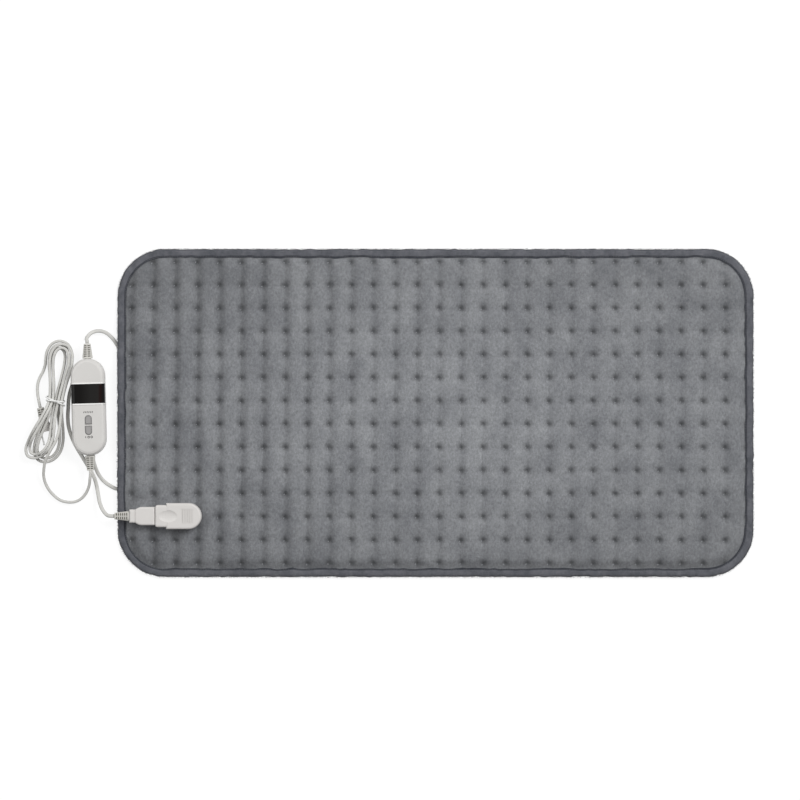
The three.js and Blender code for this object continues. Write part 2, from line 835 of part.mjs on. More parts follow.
// A tapered sleeve along +Y with two columns of slots in its top and bottom. An anchored one has
// a neck through a wall and a flange behind it.
function strainRelief({
  length,
  rows,
  wall = 0,
  rootWidth = reliefRootWidth,
  rootHeight = reliefRootHeight,
}) {
  const section = (y, width, height) =>
    roundedRing(width / 2, height / 2, height / 3, 2, (across, up) => new THREE.Vector3(across, y, up));
  const sleeve = solidOf(
    loft([
      section(0, rootWidth, rootHeight),
      section(reliefCollar, rootWidth, rootHeight),
      section(length, reliefThinWidth, reliefThinHeight),
    ]),
  );
  const pitch = (length - reliefCollar) / (rows + 1 / 2);
  const slots = [];
  for (let row = 0; row < rows; row += 1) {
    const y = reliefCollar + (row + 1 / 2) * pitch;
    const share = (y - reliefCollar) / (length - reliefCollar);
    const height = rootHeight + (reliefThinHeight - rootHeight) * share;
    const width = slotWidth + ((rootWidth - reliefThinWidth) / 2) * (1 - share) * (1 / 2);
    for (const side of [-1, 1]) {
      const x = side * (slotSpacing / 2 + width / 2);
      slots.push(boxSolid(width, slotLength, slotDepth + overrun, x, y, height / 2 - slotDepth));
      slots.push(boxSolid(width, slotLength, slotDepth + overrun, x, y, -height / 2 - overrun));
    }
  }
  const cutSleeve = without(sleeve, ...slots);
  if (wall === 0) return cutSleeve;
  const neckLength = wall + 2 * seatGap;
  const neck = boxSolid(neckWidth, neckLength + neckRoot, neckHeight, 0, -neckLength / 2, -neckHeight / 2);
  const anchorY = -(wall + 2 * seatGap + anchorThickness / 2);
  const anchor = boxSolid(anchorWidth, anchorThickness, anchorHeight, 0, anchorY, -anchorHeight / 2);
  return joined(cutSleeve, neck, anchor);
}

// Controller, in a frame with its origin at the middle of its flat back

function stadium(length, width) {
  return planShape((shape) => {
    const radius = width / 2;
    const straight = length / 2 - radius;
    shape.moveTo(radius, -straight);
    shape.lineTo(radius, straight);
    shape.absarc(0, straight, radius, 0, Math.PI);
    shape.lineTo(-radius, -straight);
    shape.absarc(0, -straight, radius, Math.PI, 2 * Math.PI);
  });
}

// The controller's outside, drawn in all round by an inset
function controllerForm(inset) {
  const shape = stadium(controllerLength - 2 * inset, controllerWidth - 2 * inset);
  const rounding = Math.max(controllerRounding - inset, leastRounding);
  return slab(shape, controllerThickness - 2 * inset, rounding, 3, 10).translate([0, 0, inset]);
}

const boardTop = boardHeight + boardThickness;
const boardInset = screwInsetY + bossDiameter / 2 + boardEndGap;
const boardLength = controllerLength - 2 * (boardInset - boardCentreY);
const reliefHeight = controllerThickness / 2 - seatGap;
const screwPlaces = [-1, 1].flatMap((sideY) =>
  [-1, 1].map((sideX) => [sideX * screwInsetX, sideY * (controllerLength / 2 - screwInsetY)]),
);
const buttonPlaces = [1, -1].map((side) => buttonCentreY + (side * (buttonSpacing + buttonLength)) / 2);
const endWall = controllerWall + endWallExtra; // the round end is thicker behind a sleeve's flat root

// A button's outline, round at the end away from the other button
function buttonShape(side, grow) {
  const half = buttonWidth / 2 + grow;
  const flat = -buttonLength / 2 - grow;
  const spring = buttonLength / 2 + grow - half;
  return planShape((shape) => {
    shape.moveTo(-half, side * flat);
    shape.lineTo(half, side * flat);
    shape.lineTo(half, side * spring);
    if (side > 0) shape.absarc(0, spring, half, 0, Math.PI);
    else shape.absarc(0, -spring, half, 0, Math.PI, true);
    shape.lineTo(-half, side * flat);
  });
}

function prism(shape, height, x, y, z, curveSegments = 8) {
  const geometry = new THREE.ExtrudeGeometry(shape, { depth: height, bevelEnabled: false, curveSegments });
  return solidOf(geometry.translate(x, y, z));
}

function controllerShells() {
  const outside = controllerForm(0);
  const inside = controllerForm(controllerWall);
  const reach = 2 * controllerLength;
  const reliefHoles = [-1, 1].map((side) =>
    boxSolid(
      neckWidth + 2 * seatGap,
      controllerLength / 4,
      neckHeight + 2 * seatGap,
      0,
      (side * controllerLength) / 2,
      reliefHeight - neckHeight / 2 - seatGap,
    ),
  );
  const endSeats = [-1, 1].map((side) =>
    boxSolid(
      anchorWidth + 2 * seatGap,
      anchorThickness + 2 * seatGap,
      anchorHeight + 2 * seatGap,
      0,
      side * (controllerLength / 2 - endWall - seatGap - anchorThickness / 2),
      reliefHeight - anchorHeight / 2 - seatGap,
    ),
  );
  const endPads = [-1, 1].map((side) =>
    boxSolid(
      anchorWidth + 2 * controllerWall,
      endWall,
      controllerThickness,
      0,
      side * (controllerLength / 2 - endWall / 2),
      0,
    ).intersect(outside),
  );
  const hollow = without(inside, ...endPads);
  const shells = without(outside, hollow, ...reliefHoles, ...endSeats);
  const [rearBlank, frontBlank] = halves(shells, controllerSplit, reach);

  // the window lies in a band across the whole face, between two ridges
  const bandSolid = boxSolid(
    2 * controllerWidth,
    windowLength + 2 * seatGap,
    controllerThickness,
    0,
    windowCentreY,
    controllerSplit + seatGap,
  );
  const windowBand = boxSolid(
    2 * controllerWidth,
    windowLength,
    controllerThickness,
    0,
    windowCentreY,
    controllerSplit + 2 * seatGap + windowSkirt,
  );
  const pocket = bandSolid.intersect(without(outside, controllerForm(windowThickness + seatGap)));
  const windowSkin = windowBand.intersect(without(outside, controllerForm(windowThickness)));
  const ridges = [-1, 1].map((side) =>
    boxSolid(
      2 * controllerWidth,
      ridgeWidth,
      controllerThickness,
      0,
      windowCentreY + side * (windowLength / 2 + seatGap + ridgeWidth / 2),
      controllerSplit + seatGap + windowSkirt,
    ).intersect(without(controllerForm(-ridgeHeight), controllerForm(controllerWall / 2))),
  );
  const moduleHole = boxSolid(
    moduleWidth - 2 * controllerWall,
    moduleLength - 2 * controllerWall,
    controllerThickness,
    0,
    windowCentreY,
    controllerThickness / 2,
  );
  const buttonHoles = buttonPlaces.map((y, n) =>
    prism(buttonShape(n === 0 ? 1 : -1, seatGap), controllerThickness, 0, y, controllerThickness / 2),
  );
  const bossTop = controllerThickness - controllerWall / 2;
  const bosses = screwPlaces.map(([x, y]) =>
    upright(bossDiameter, bossTop - controllerSplit - seatGap, x, y, controllerSplit + seatGap, smallSides),
  );
  const bossBores = screwPlaces.map(([x, y]) =>
    upright(screwShank + 2 * seatGap, screwRecess + screwLength + seatGap, x, y, 0, smallSides),
  );
  const frontBody = joined(without(frontBlank, pocket), ...ridges, ...bosses);
  const front = without(frontBody, moduleHole, ...buttonHoles, ...bossBores);

  const posts = postPlaces().map(([x, y]) =>
    upright(postDiameter, boardHeight - seatGap - controllerWall / 2, x, y, controllerWall / 2, smallSides),
  );
  const socketHeight = controllerSplit - seatGap - controllerWall / 2;
  const sockets = screwPlaces.map(([x, y]) =>
    upright(bossDiameter, socketHeight, x, y, controllerWall / 2, smallSides),
  );
  const recesses = screwPlaces.map(([x, y]) =>
    upright(screwHead + 2 * seatGap, screwRecess + seatGap + overrun, x, y, -overrun, smallSides),
  );
  const rear = without(joined(rearBlank, ...posts, ...sockets), ...recesses, ...bossBores);
  return { front, rear, windowSkin };
}

function postPlaces() {
  return [-1, 1].flatMap((sideY) =>
    [-1, 1].map((sideX) => [
      sideX * (boardWidth / 2 - postInsetX),
      boardCentreY + sideY * (boardLength / 2 - postInsetY),
    ]),
  );
}

function addController() {
  const { front, rear, windowSkin } = controllerShells();
  addPiece(controller, "controller_front_shell", geometryOf(front), "shell");
  addPiece(controller, "controller_rear_shell", geometryOf(rear), "shell");
  addPiece(controller, "display_window", geometryOf(windowSkin), "window");

  addPiece(controller, "circuit_board", geometryOf(boardSolid()), "board");

  const moduleTop = controllerThickness - controllerWall - seatGap;
  const module = joined(
    boxSolid(moduleWidth, moduleLength, moduleThickness, 0, windowCentreY, moduleTop - moduleThickness),
    ...[-1, 1].map((side) =>
      boxSolid(
        moduleWidth / 2,
        moduleLeg,
        moduleTop - moduleThickness - boardTop - seatGap + moduleLeg,
        0,
        windowCentreY + side * (moduleLength / 2 - moduleLeg),
        boardTop + seatGap,
      ),
    ),
  );
  addPiece(controller, "display_module", geometryOf(module), "part");

  // each button is held behind the face by its flange, and its stem stands over a switch
  const faceInside = controllerThickness - controllerWall;
  const flangeTop = faceInside - seatGap;
  const switchTop = boardTop + seatGap + switchHeight + plungerHeight;
  const stemFoot = switchTop + buttonTravel + seatGap;
  ["heat", "power"].forEach((name, n) => {
    const side = n === 0 ? 1 : -1;
    const y = buttonPlaces[n];
    const capHeight = controllerThickness + buttonProud - flangeTop + buttonFlangeThickness / 2;
    const capFoot = controllerThickness + buttonProud - capHeight - buttonFlangeThickness;
    const capBlank = slab(buttonShape(side, 0), capHeight + buttonFlangeThickness, buttonRounding, 2, 8);
    const cap = capBlank.translate([0, y, capFoot]);
    const flangeFoot = flangeTop - buttonFlangeThickness;
    const trim = boxSolid(2 * buttonWidth, 2 * buttonLength, overrun, 0, y, flangeFoot - overrun);
    const flangeWidth = buttonWidth + 2 * buttonFlange;
    const flangeSpan = boxSolid(flangeWidth, buttonLength, buttonFlangeThickness, 0, y, flangeFoot);
    const stem = upright(stemDiameter, flangeTop - stemFoot, 0, y, stemFoot, smallSides);
    const button = joined(without(cap, trim), flangeSpan, stem);
    addPiece(controller, `${name}_button`, geometryOf(button), "button");
    const onBoard = boardTop + seatGap;
    const plungerFoot = onBoard + switchHeight - plungerHeight;
    const tact = joined(
      boxSolid(switchSide, switchSide, switchHeight, 0, y, onBoard),
      upright(plungerDiameter, 2 * plungerHeight, 0, y, plungerFoot, smallSides),
    );
    addPiece(controller, `${name}_switch`, geometryOf(tact), "part");
  });

  const relay = boxSolid(
    relayWidth,
    relayLength,
    relayHeight,
    relayCentreX,
    relayCentreY,
    boardTop + seatGap,
  );
  addPiece(controller, "power_relay", geometryOf(relay), "part");
  const fuse = new THREE.CylinderGeometry(fuseDiameter / 2, fuseDiameter / 2, fuseLength, smallSides);
  fuse.translate(fuseCentreX, relayCentreY, boardTop + seatGap + fuseDiameter / 2);
  addPiece(controller, "fuse", fuse, "metal");

  screwPlaces.forEach(([x, y], n) => {
    const profile = [
      [0, 0],
      [screwHead / 2, 0],
      [screwHead / 2, screwHeadHeight / 2],
      [screwShank / 2, screwHeadHeight],
      [screwShank / 2, screwLength - screwShank / 2],
      [0, screwLength],
    ].map(([radius, height]) => new THREE.Vector2(radius, height));
    const screw = new THREE.LatheGeometry(profile, smallSides).rotateX(Math.PI / 2);
    const head = screwRecess - screwHeadHeight;
    addPiece(controller, `controller_screw_${n + 1}`, screw.translate(x, y, head), "metal");
  });

  [["upper", 0], ["lower", 180]].forEach(([name, turn]) => {
    const relief = strainRelief({ length: reliefLength, rows: reliefRows, wall: endWall })
      .translate([0, controllerLength / 2 + seatGap, 0])
      .rotate([0, 0, turn])
      .translate([0, 0, reliefHeight]);
    addPiece(controller, `${name}_strain_relief`, geometryOf(relief), "relief");
  });
}

function boardSolid() {
  const shape = rectangleShape(-boardWidth / 2, boardWidth / 2, boardLength, boardCornerRadius);
  return prism(shape, boardThickness, 0, boardCentreY, boardHeight, 3);
}

// Hank: one unbroken tube that spirals in, climbs a layer along a run and spirals out again

const layerPitch = leadWide + hankLayerGap;
const mainsPlugTurn = THREE.MathUtils.degToRad(mainsPlugHeading);
const mainsPlugReach = mainsReliefLength + mainsPlugLength + bladeLength;

// How far a place is from the mains plug, seen from above
function plugDistance(x, y) {
  const [fromX, fromY] = [x - mainsPlugX, y - mainsPlugY];
  const along = fromX * Math.sin(mainsPlugTurn) - fromY * Math.cos(mainsPlugTurn);
  const across = fromX * Math.cos(mainsPlugTurn) + fromY * Math.sin(mainsPlugTurn);
  const widening = smoothStep((along - mainsReliefLength) / mainsPlugLength);
  const half = (mainsPlugRootWidth + (mainsPlugWidth - mainsPlugRootWidth) * widening + leadThick) / 2;
  const beyond = Math.max(-along, along - mainsPlugReach, 0);
  return Math.hypot(Math.max(Math.abs(across) - half, 0), beyond);
}

// The two layers' lobes differ, so that the strands of both show
function hankPoint(turns) {
  const spiral = Math.abs(turns - hankTurn);
  const angle = 2 * Math.PI * turns;
  const [ahead, aside] = [Math.cos(angle), Math.sin(angle)];
  const upper = ahead < 0;
  const change = smoothStep((turns - hankTurn + changeBefore) / (changeBefore + changeAfter));
  const between = (first, second) => first + (second - first) * change;
  const firstLobe = upper
    ? [firstUpperLength, firstUpperSwell, firstUpperLeanShare]
    : [firstLowerLength, firstLowerSwell, firstLowerLeanShare];
  const secondLobe = upper
    ? [secondUpperLength, secondUpperSwell, secondUpperLeanShare]
    : [secondLowerLength, secondLowerSwell, secondLowerLeanShare];
  const [lobeLength, lobeSwell, leanShare] = firstLobe.map((size, n) => between(size, secondLobe[n]));
  const length = lobeLength + hankEndPitch * spiral * ahead * ahead;
  const swell = lobeSwell + hankSwellPitch * spiral;
  const half = hankWaist + hankPitch * spiral + swell * ahead * ahead;
  const down = -length * ahead;
  const lean = leanShare * down - (down * down) / hankBow;
  const [x, y] = [hankX + lean - aside * half, hankY + down];
  const climb = smoothStep((turns - hankTurn + climbTurns) / (2 * climbTurns));
  const nearEnd = smoothStep((ahead * ahead - rightHumpFrom) / rightHumpReach);
  const rightShare = climb * (rightHumpShare + (1 - rightHumpShare) * nearEnd);
  const height = (atX, atY) => hankRise(atX, atY, aside > 0 ? 1 : rightShare);
  const slope = Math.hypot(
    (height(x + slopeStep, y) - height(x - slopeStep, y)) / (2 * slopeStep),
    (height(x, y + slopeStep) - height(x, y - slopeStep)) / (2 * slopeStep),
  );
  // layers keep their distance square to the slope that they lie on
  const stretch = Math.hypot(1, slope);
  return new THREE.Vector3(x, y, height(x, y) + tableGap + stretch * (leadWide / 2 + layerPitch * climb));
}

// How high the hank's underside is over the table: its left side lies on the mains plug, which
// takes the second layer's right side up by a share
function hankRise(x, y, plugShare) {
  const down = y - hankY;
  const waist = waistLift * (1 - smoothStep(Math.abs(down) / waistReach));
  const nearPlug = plugShare * (1 - smoothStep(plugDistance(x, y) / plugHumpReach));
  const belowTie = smoothStep(-down / plugRiseReach);
  return waist + (mainsPlugThickness + plugHumpSpare - waist) * nearPlug * belowTie;
}

function hankRoute() {
  const steps = Math.ceil((hankEnd - hankStart) * hankLoopSteps);
  const route = [];
  for (let step = 0; step <= steps; step += 1) {
    route.push(hankPoint(hankStart + ((hankEnd - hankStart) * step) / steps));
  }
  // both ends run straight for a little
  const straight = (end, near) => end.clone().sub(near).setLength(leadThick).add(end);
  const before = straight(route[0], hankPoint(hankStart + tangentTurns));
  const after = straight(route[steps], hankPoint(hankEnd - tangentTurns));
  return [before, ...route, after];
}

// The least distance between points on the surface of a tube that lie some rings apart
function leastGap(tube, sides, ringsApart) {
  const corners = tube.attributes.position;
  const corner = (ring, side) =>
    new THREE.Vector3().fromBufferAttribute(corners, ring * sides + (side % sides));
  const samples = [];
  for (let ring = 0; ring < corners.count / sides - 1; ring += 1) {
    for (let side = 0; side < sides; side += 1) {
      for (let part = 0; part < gapSamples; part += 1) {
        const share = part / gapSamples;
        const edge = corner(ring, side).lerp(corner(ring + 1, side), share);
        const nextEdge = corner(ring, side + 1).lerp(corner(ring + 1, side + 1), share);
        samples.push([ring, edge], [ring, edge.clone().lerp(nextEdge, 1 / 2)]);
      }
    }
  }
  let least = Infinity;
  for (let one = 0; one < samples.length; one += 1) {
    for (let other = one + 1; other < samples.length; other += 1) {
      if (samples[other][0] - samples[one][0] < ringsApart) continue;
      least = Math.min(least, samples[one][1].distanceToSquared(samples[other][1]));
    }
  }
  return Math.sqrt(least);
}

// The free stretches of the leads, from point to point as they lie, with X from the pad's left
// edge. Their ends are worked out from what they meet, and the points between are chosen by eye.

const padLeadRoute = [
  [-40.4, 97.5, 12.9],
  [-38.2, 101.6, 11.4],
  [-33.4, 106.1, 8.8],
  [-25.2, 108.4, 5.4],
  [-16, 106.1, 2.9],
  [-7.6, 99, 2.1],
  [-0.8, 89.1, 1.8],
  [7.8, 74, 1.8],
  [14.4, 55, 1.8],
  [17, 30, 1.8],
  [17.4, -2, 1.8],
  [18.4, -36, 1.8],
  [19.2, -62, 1.8],
  [18.8, -80, 1.8],
  [15, -93, 1.8],
  [7.5, -100.4, 1.8],
  [-2.2, -99.9, 1.8],
  [-10.7, -95.7, 1.8],
  [-18.4, -90, 1.8],
  [-24.5, -82.5, 1.8],
  [-28.5, -74.6, 1.8],
  [-32.6, -61.4, 1.8],
  [-33.1, -46.2, 1.8],
  [-30.8, -9.2, 1.8],
  [-30.8, 23.8, 1.8],
  [-33.8, 46, 1.8],
  [-42.3, 58.6, 1.8],
  [-50.6, 59.4, 1.8],
  [-55.4, 53, 1.8],
  [-57.8, 44.6, 1.8],
  [-60.8, 35.6, 1.8],
  [-63.8, 25.6, 1.8],
  [-65.2, 15.8, 1.8],
  [-65.7, 5.6, 1.8],
  [-66.2, -5, 1.8],
  [-65.2, -17.2, 1.8],
  [-61.5, -30.4, 1.8],
  [-55.5, -43.6, 1.8],
  [-47.6, -56.8, 1.8],
  [-40.2, -69, 1.8],
  [-33.3, -80.9, 1.8],
  [-28.9, -92.4, 2.2],
  [-26.1, -105.6, 4.4],
  [-23.1, -118.8, 8.4],
  [-18, -129, 12.4],
  [-12, -134.6, 14.7],
];

const mainsNearRoute = [
  [-72.6, 5, 13],
  [-73.8, -3, 13],
  [-74.8, -11, 13.2],
  [-75.8, -19, 13.8],
  [-77.2, -27, 15],
  [-79.6, -35, 16.8],
  [-83.2, -42.5, 18.2],
  [-87.6, -50, 18.6],
  [-91.4, -57, 17.6],
  [-94.4, -64.5, 15.4],
  [-96.4, -73.2, 12],
  [-97.2, -82.8, 8],
  [-95.2, -92.8, 4.6],
  [-88.5, -104.3, 2.9],
  [-75.3, -115.2, 2.8],
  [-60.3, -117.5, 2.8],
  [-50.3, -114.2, 2.9],
  [-42.3, -106.3, 4.6],
  [-37.3, -95.6, 8.6],
  [-35.8, -86.4, 12.2],
];

const mainsFarRoute = [
  [-104, 16, 4.9],
  [-105.8, 27.5, 4.2],
  [-105.6, 38, 3.3],
  [-102.8, 47, 2.8],
  [-98.8, 54.5, 2.8],
];

// A level tube of lead along a route, with its ends square to what they meet
function leadStretch(route, halfAcross, halfUp, step) {
  const curve = new THREE.CatmullRomCurve3(route.slice(1, -1), false, "centripetal");
  const steps = Math.round(curve.getLength() / step);
  const points = [route[0], ...curve.getSpacedPoints(steps), route.at(-1)];
  return tubeThrough(points, halfAcross, halfUp, leadSides);
}

function asVectors(points) {
  return points.map(([x, y, z]) => new THREE.Vector3(padLeft + x, y, z));
}

// The two points of a straight end that stands off a face by the seat gap
function straightEnd(face, out) {
  const way = out.clone().normalize();
  return [face.clone().addScaledVector(way, seatGap), face.clone().addScaledVector(way, leadThick)];
}

function tieRound(left, right, low, high, y) {
  const halfWidth = (right - left) / 2;
  const halfHeight = (high - low) / 2;
  const middle = (left + right) / 2;
  const turn = roundedRing(halfWidth, halfHeight, tieCornerRadius, tieCornerSteps, (across, up) => [
    middle + across,
    (low + high) / 2 + up,
  ]);
  const total = turn.length * tieTurns;
  const points = Array.from({ length: total }, (_, n) => {
    const [x, z] = turn[n % turn.length];
    return new THREE.Vector3(x, y + tiePitch * tieTurns * (n / total - 1 / 2), z);
  });
  return tubeThrough(points, tieDiameter / 2, tieDiameter / 2, tieSides, new THREE.Vector3(0, 1, 0));
}

function addLeads() {
  const route = hankRoute();
  const hank = tubeThrough(route, leadThick / 2, leadWide / 2, hankSides);
  const gap = leastGap(hank, hankSides, gapRingsApart);
  console.log(`least gap of the hank to itself: ${gap.toFixed(2)} mm, at least ${leastSelfGap} mm wanted`);
  addPiece(leads, "cord_hank", hank, "lead");

  controller.updateMatrixWorld();
  const tip = reliefLength + controllerLength / 2 + seatGap;
  const at = (y) => new THREE.Vector3(0, y, reliefHeight).applyMatrix4(controller.matrixWorld);
  const upper = straightEnd(at(tip), at(tip + 1).sub(at(tip)));
  const lower = straightEnd(at(-tip), at(-tip - 1).sub(at(-tip)));
  const plugBack = new THREE.Vector3(
    connectorCentreX - plugBodyLength - plugWaistLength - seatGap - reliefLength,
    connectorCentreY,
    connectorRest + plugMiddle,
  );
  const plugEnd = straightEnd(plugBack, new THREE.Vector3(-1, 0, 0));
  const padLead = [...upper, ...asVectors(padLeadRoute), ...plugEnd.reverse()];
  addPiece(leads, "pad_lead", leadStretch(padLead, leadWide / 2, leadThick / 2, leadStep), "lead");

  const last = route.length - 1;
  const hankOut = straightEnd(route[last], route[last].clone().sub(route[last - 1]));
  const near = [...hankOut, ...asVectors(mainsNearRoute), ...lower.reverse()];
  addPiece(leads, "mains_lead_near", leadStretch(near, leadThick / 2, leadWide / 2, hankLeadStep), "lead");

  const hankIn = straightEnd(route[0], route[0].clone().sub(route[1]));
  const plugTop = new THREE.Vector3(mainsPlugX, mainsPlugY, tableGap + mainsPlugThickness / 2);
  const away = new THREE.Vector3(-Math.sin(mainsPlugTurn), Math.cos(mainsPlugTurn), 0);
  const far = [...straightEnd(plugTop, away), ...asVectors(mainsFarRoute), ...hankIn.reverse()];
  addPiece(leads, "mains_lead_far", leadStretch(far, leadThick / 2, leadWide / 2, hankLeadStep), "lead");

  // the pad's lead passes beside the tie
  const room = tieDiameter / 2 + seatGap;
  const left = hankX - hankWaist - hankPitch * waistLeftTurns - leadThick / 2 - room - tieSpare;
  const right = hankX + hankWaist + hankPitch * waistRightTurns + leadThick / 2 + room + tieSpare;
  const low = tableGap + waistLift - room - tieSpare;
  const high = tableGap + waistLift + layerPitch + leadWide + room + tieSpare;
  addPiece(leads, "hank_tie", tieRound(left, right, low, high, hankY), "tie");
}

// Mains plug, in a frame with +Y from the end of its sleeve to its blades

function addMainsPlug() {
  const middle = mainsPlugThickness / 2;
  const relief = strainRelief({
    length: mainsReliefLength,
    rows: mainsReliefRows,
    rootWidth: mainsPlugRootWidth,
    rootHeight: mainsPlugRootThickness,
  })
    .rotate([0, 0, 180])
    .translate([0, mainsReliefLength, middle]);
  addPiece(mainsPlug, "mains_plug_strain_relief", geometryOf(relief), "relief");

  const root = mainsReliefLength + seatGap;
  const front = root + mainsPlugLength;
  const section = (y, width, height) =>
    roundedRing(width / 2, height / 2, mainsPlugRounding, 3, (across, up) => {
      return new THREE.Vector3(across, y, middle + up);
    });
  const bodyRings = mainsPlugShares.map((share) => {
    const swell = smoothStep(share * mainsPlugSwellShare);
    const width = mainsPlugRootWidth + (mainsPlugWidth - mainsPlugRootWidth) * swell;
    const height = mainsPlugRootThickness + (mainsPlugThickness - mainsPlugRootThickness) * swell;
    return section(root + share * mainsPlugLength, width, height);
  });
  const pockets = [-1, 1].map((side) =>
    boxSolid(
      bladeThickness + 2 * seatGap,
      bladeRoot + seatGap + overrun,
      bladeWidth + 2 * seatGap,
      (side * bladeSpacing) / 2,
      front + (overrun - bladeRoot - seatGap) / 2,
      middle - bladeWidth / 2 - seatGap,
    ),
  );
  const plugBody = without(solidOf(loft(bodyRings)), ...pockets);
  addPiece(mainsPlug, "mains_plug_body", geometryOf(plugBody), "connector");

  [-1, 1].forEach((side, n) => {
    const tip = planShape((shape) => {
      const half = bladeWidth / 2;
      const chamfer = bladeThickness;
      shape.moveTo(-bladeRoot, -half);
      shape.lineTo(bladeLength - chamfer, -half);
      shape.lineTo(bladeLength, -half + chamfer);
      shape.lineTo(bladeLength, half - chamfer);
      shape.lineTo(bladeLength - chamfer, half);
      shape.lineTo(-bladeRoot, half);
      shape.lineTo(-bladeRoot, -half);
      const hole = new THREE.Path();
      hole.absarc(bladeLength - bladeHoleInset, 0, bladeHoleDiameter / 2, 0, 2 * Math.PI, true);
      shape.holes.push(hole);
    });
    const asCut = { depth: bladeThickness, bevelEnabled: false, curveSegments: 6 };
    const blade = new THREE.ExtrudeGeometry(tip, asCut);
    blade.translate(0, 0, -bladeThickness / 2).rotateX(Math.PI / 2).rotateZ(Math.PI / 2);
    blade.translate((side * bladeSpacing) / 2, front, middle);
    addPiece(mainsPlug, `mains_blade_${n + 1}`, blade, "metal");
  });
}

// The whole object

const footX = connectorCentreX + dishCentre + footDiameter;
const topCover = padLayer({
  low: topCoverLow,
  high: tuftHeight,
  edgeLow: topEdgeLow,
  edgeHigh: topEdgeHigh,
  crownAt,
});
const footHole = upright(
  footDiameter + 2 * seatGap,
  connectorRest + 2 * overrun,
  footX,
  connectorCentreY,
  -overrun,
);
addPiece(pad, "pad_top_cover", geometryOf(without(solidOf(topCover), footHole)), "plush");
addPiece(
  pad,
  "pad_bottom_cover",
  padLayer({
    low: 0,
    high: bottomCoverThickness,
    edgeLow: bottomEdge,
    edgeHigh: bottomEdge + bottomEdgeThickness,
  }),
  "cloth",
);
addPiece(pad, "heater_carrier", padLayer({ low: carrierLow, high: carrierLow + carrierThickness }), "felt");
addPiece(pad, "edge_binding", edgeBinding(), "binding");
addPiece(pad, "heating_wire", heatingWire(footX), "wire");
const cutout = boxSolid(
  cutoutLength,
  cutoutWidth,
  wireDiameter,
  columnX(cutoutColumn),
  rowY(1) + rowPitch / 2 + wireDiameter / 2 + seatGap + cutoutWidth / 2,
  wireLow,
);
addPiece(pad, "thermal_cutout", geometryOf(cutout), "part");

addSocket();
addPlug();
for (const group of [socket, plug]) group.position.set(connectorCentreX, connectorCentreY, connectorRest);

addController();
controller.position.set(controllerX, controllerY, controllerRest);
controller.rotation.z = THREE.MathUtils.degToRad(controllerLean);

addMainsPlug();
mainsPlug.position.set(mainsPlugX, mainsPlugY, tableGap);
mainsPlug.rotation.z = Math.PI + mainsPlugTurn;

addLeads();

const heatingPad = new THREE.Group();
heatingPad.add(pad, socket, plug, controller, mainsPlug, leads);

export default heatingPad;
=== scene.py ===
import math

import bpy
import numpy as np
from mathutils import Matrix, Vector
from mathutils.bvhtree import BVHTree


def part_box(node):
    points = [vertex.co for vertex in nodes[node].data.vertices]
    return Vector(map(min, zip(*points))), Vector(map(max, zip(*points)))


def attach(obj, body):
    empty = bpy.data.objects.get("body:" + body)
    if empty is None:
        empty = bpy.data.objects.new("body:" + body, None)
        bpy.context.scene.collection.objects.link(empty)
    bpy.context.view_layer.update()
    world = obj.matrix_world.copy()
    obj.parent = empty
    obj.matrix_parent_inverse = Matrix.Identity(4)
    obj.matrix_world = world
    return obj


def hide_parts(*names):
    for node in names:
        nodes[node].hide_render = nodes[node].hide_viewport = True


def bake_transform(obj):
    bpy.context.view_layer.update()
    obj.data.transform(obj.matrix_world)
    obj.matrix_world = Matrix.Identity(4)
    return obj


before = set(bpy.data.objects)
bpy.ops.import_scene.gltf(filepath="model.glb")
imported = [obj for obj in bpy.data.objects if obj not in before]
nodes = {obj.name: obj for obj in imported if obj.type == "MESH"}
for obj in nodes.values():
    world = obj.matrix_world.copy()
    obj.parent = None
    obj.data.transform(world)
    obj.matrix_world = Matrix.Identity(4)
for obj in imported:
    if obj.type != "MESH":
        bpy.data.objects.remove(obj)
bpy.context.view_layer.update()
mm = 0.001
padBody, plugBody = "pad_and_controller", "pad_plug"
print("heating pad: frame loaded")


# Small helpers for colours, meshes and materials


def srgb(*levels):
    return tuple((v / 255 / 12.92) if v <= 10 else ((v / 255 + 0.055) / 1.055) ** 2.4 for v in levels) + (1.0,)


def smooth(t):
    t = np.clip(t, 0.0, 1.0)
    return t * t * (3.0 - 2.0 * t)


def newPiece(name, points, faces, material, body=padBody, shade=True):
    mesh = bpy.data.meshes.new(name)
    mesh.from_pydata((np.asarray(points, float) * mm).tolist(), [], [list(map(int, f)) for f in faces])
    mesh.validate()
    mesh.polygons.foreach_set("use_smooth", [shade] * len(mesh.polygons))
    mesh.materials.append(material)
    piece = bpy.data.objects.new(name, mesh)
    bpy.context.scene.collection.objects.link(piece)
    if body:
        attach(piece, body)
    return piece


def newMaterial(name):
    material = bpy.data.materials.new(name)
    material.use_nodes = True
    tree = material.node_tree
    return material, tree.nodes, tree.links, tree.nodes["Principled BSDF"]


def setInputs(node, values):
    for name, value in values.items():
        node.inputs[name].default_value = value


def noiseValue(tree, links, scale, detail, stretch=(1, 1, 1), roughness=0.5):
    place = tree.new("ShaderNodeTexCoord")
    mapping = tree.new("ShaderNodeMapping")
    mapping.inputs["Scale"].default_value = stretch
    noise = tree.new("ShaderNodeTexNoise")
    setInputs(noise, {"Scale": scale, "Detail": detail, "Roughness": roughness})
    links.new(place.outputs["Object"], mapping.inputs["Vector"])
    links.new(mapping.outputs["Vector"], noise.inputs["Vector"])
    return noise.outputs["Fac"]


def reckon(tree, links, operation, *values):
    # one step of arithmetic in a material, on numbers or on other nodes' outputs
    node = tree.new("ShaderNodeMath")
    node.operation = operation
    for place, value in enumerate(values):
        if isinstance(value, (int, float)):
            node.inputs[place].default_value = value
        else:
            links.new(value, node.inputs[place])
    return node.outputs[0]


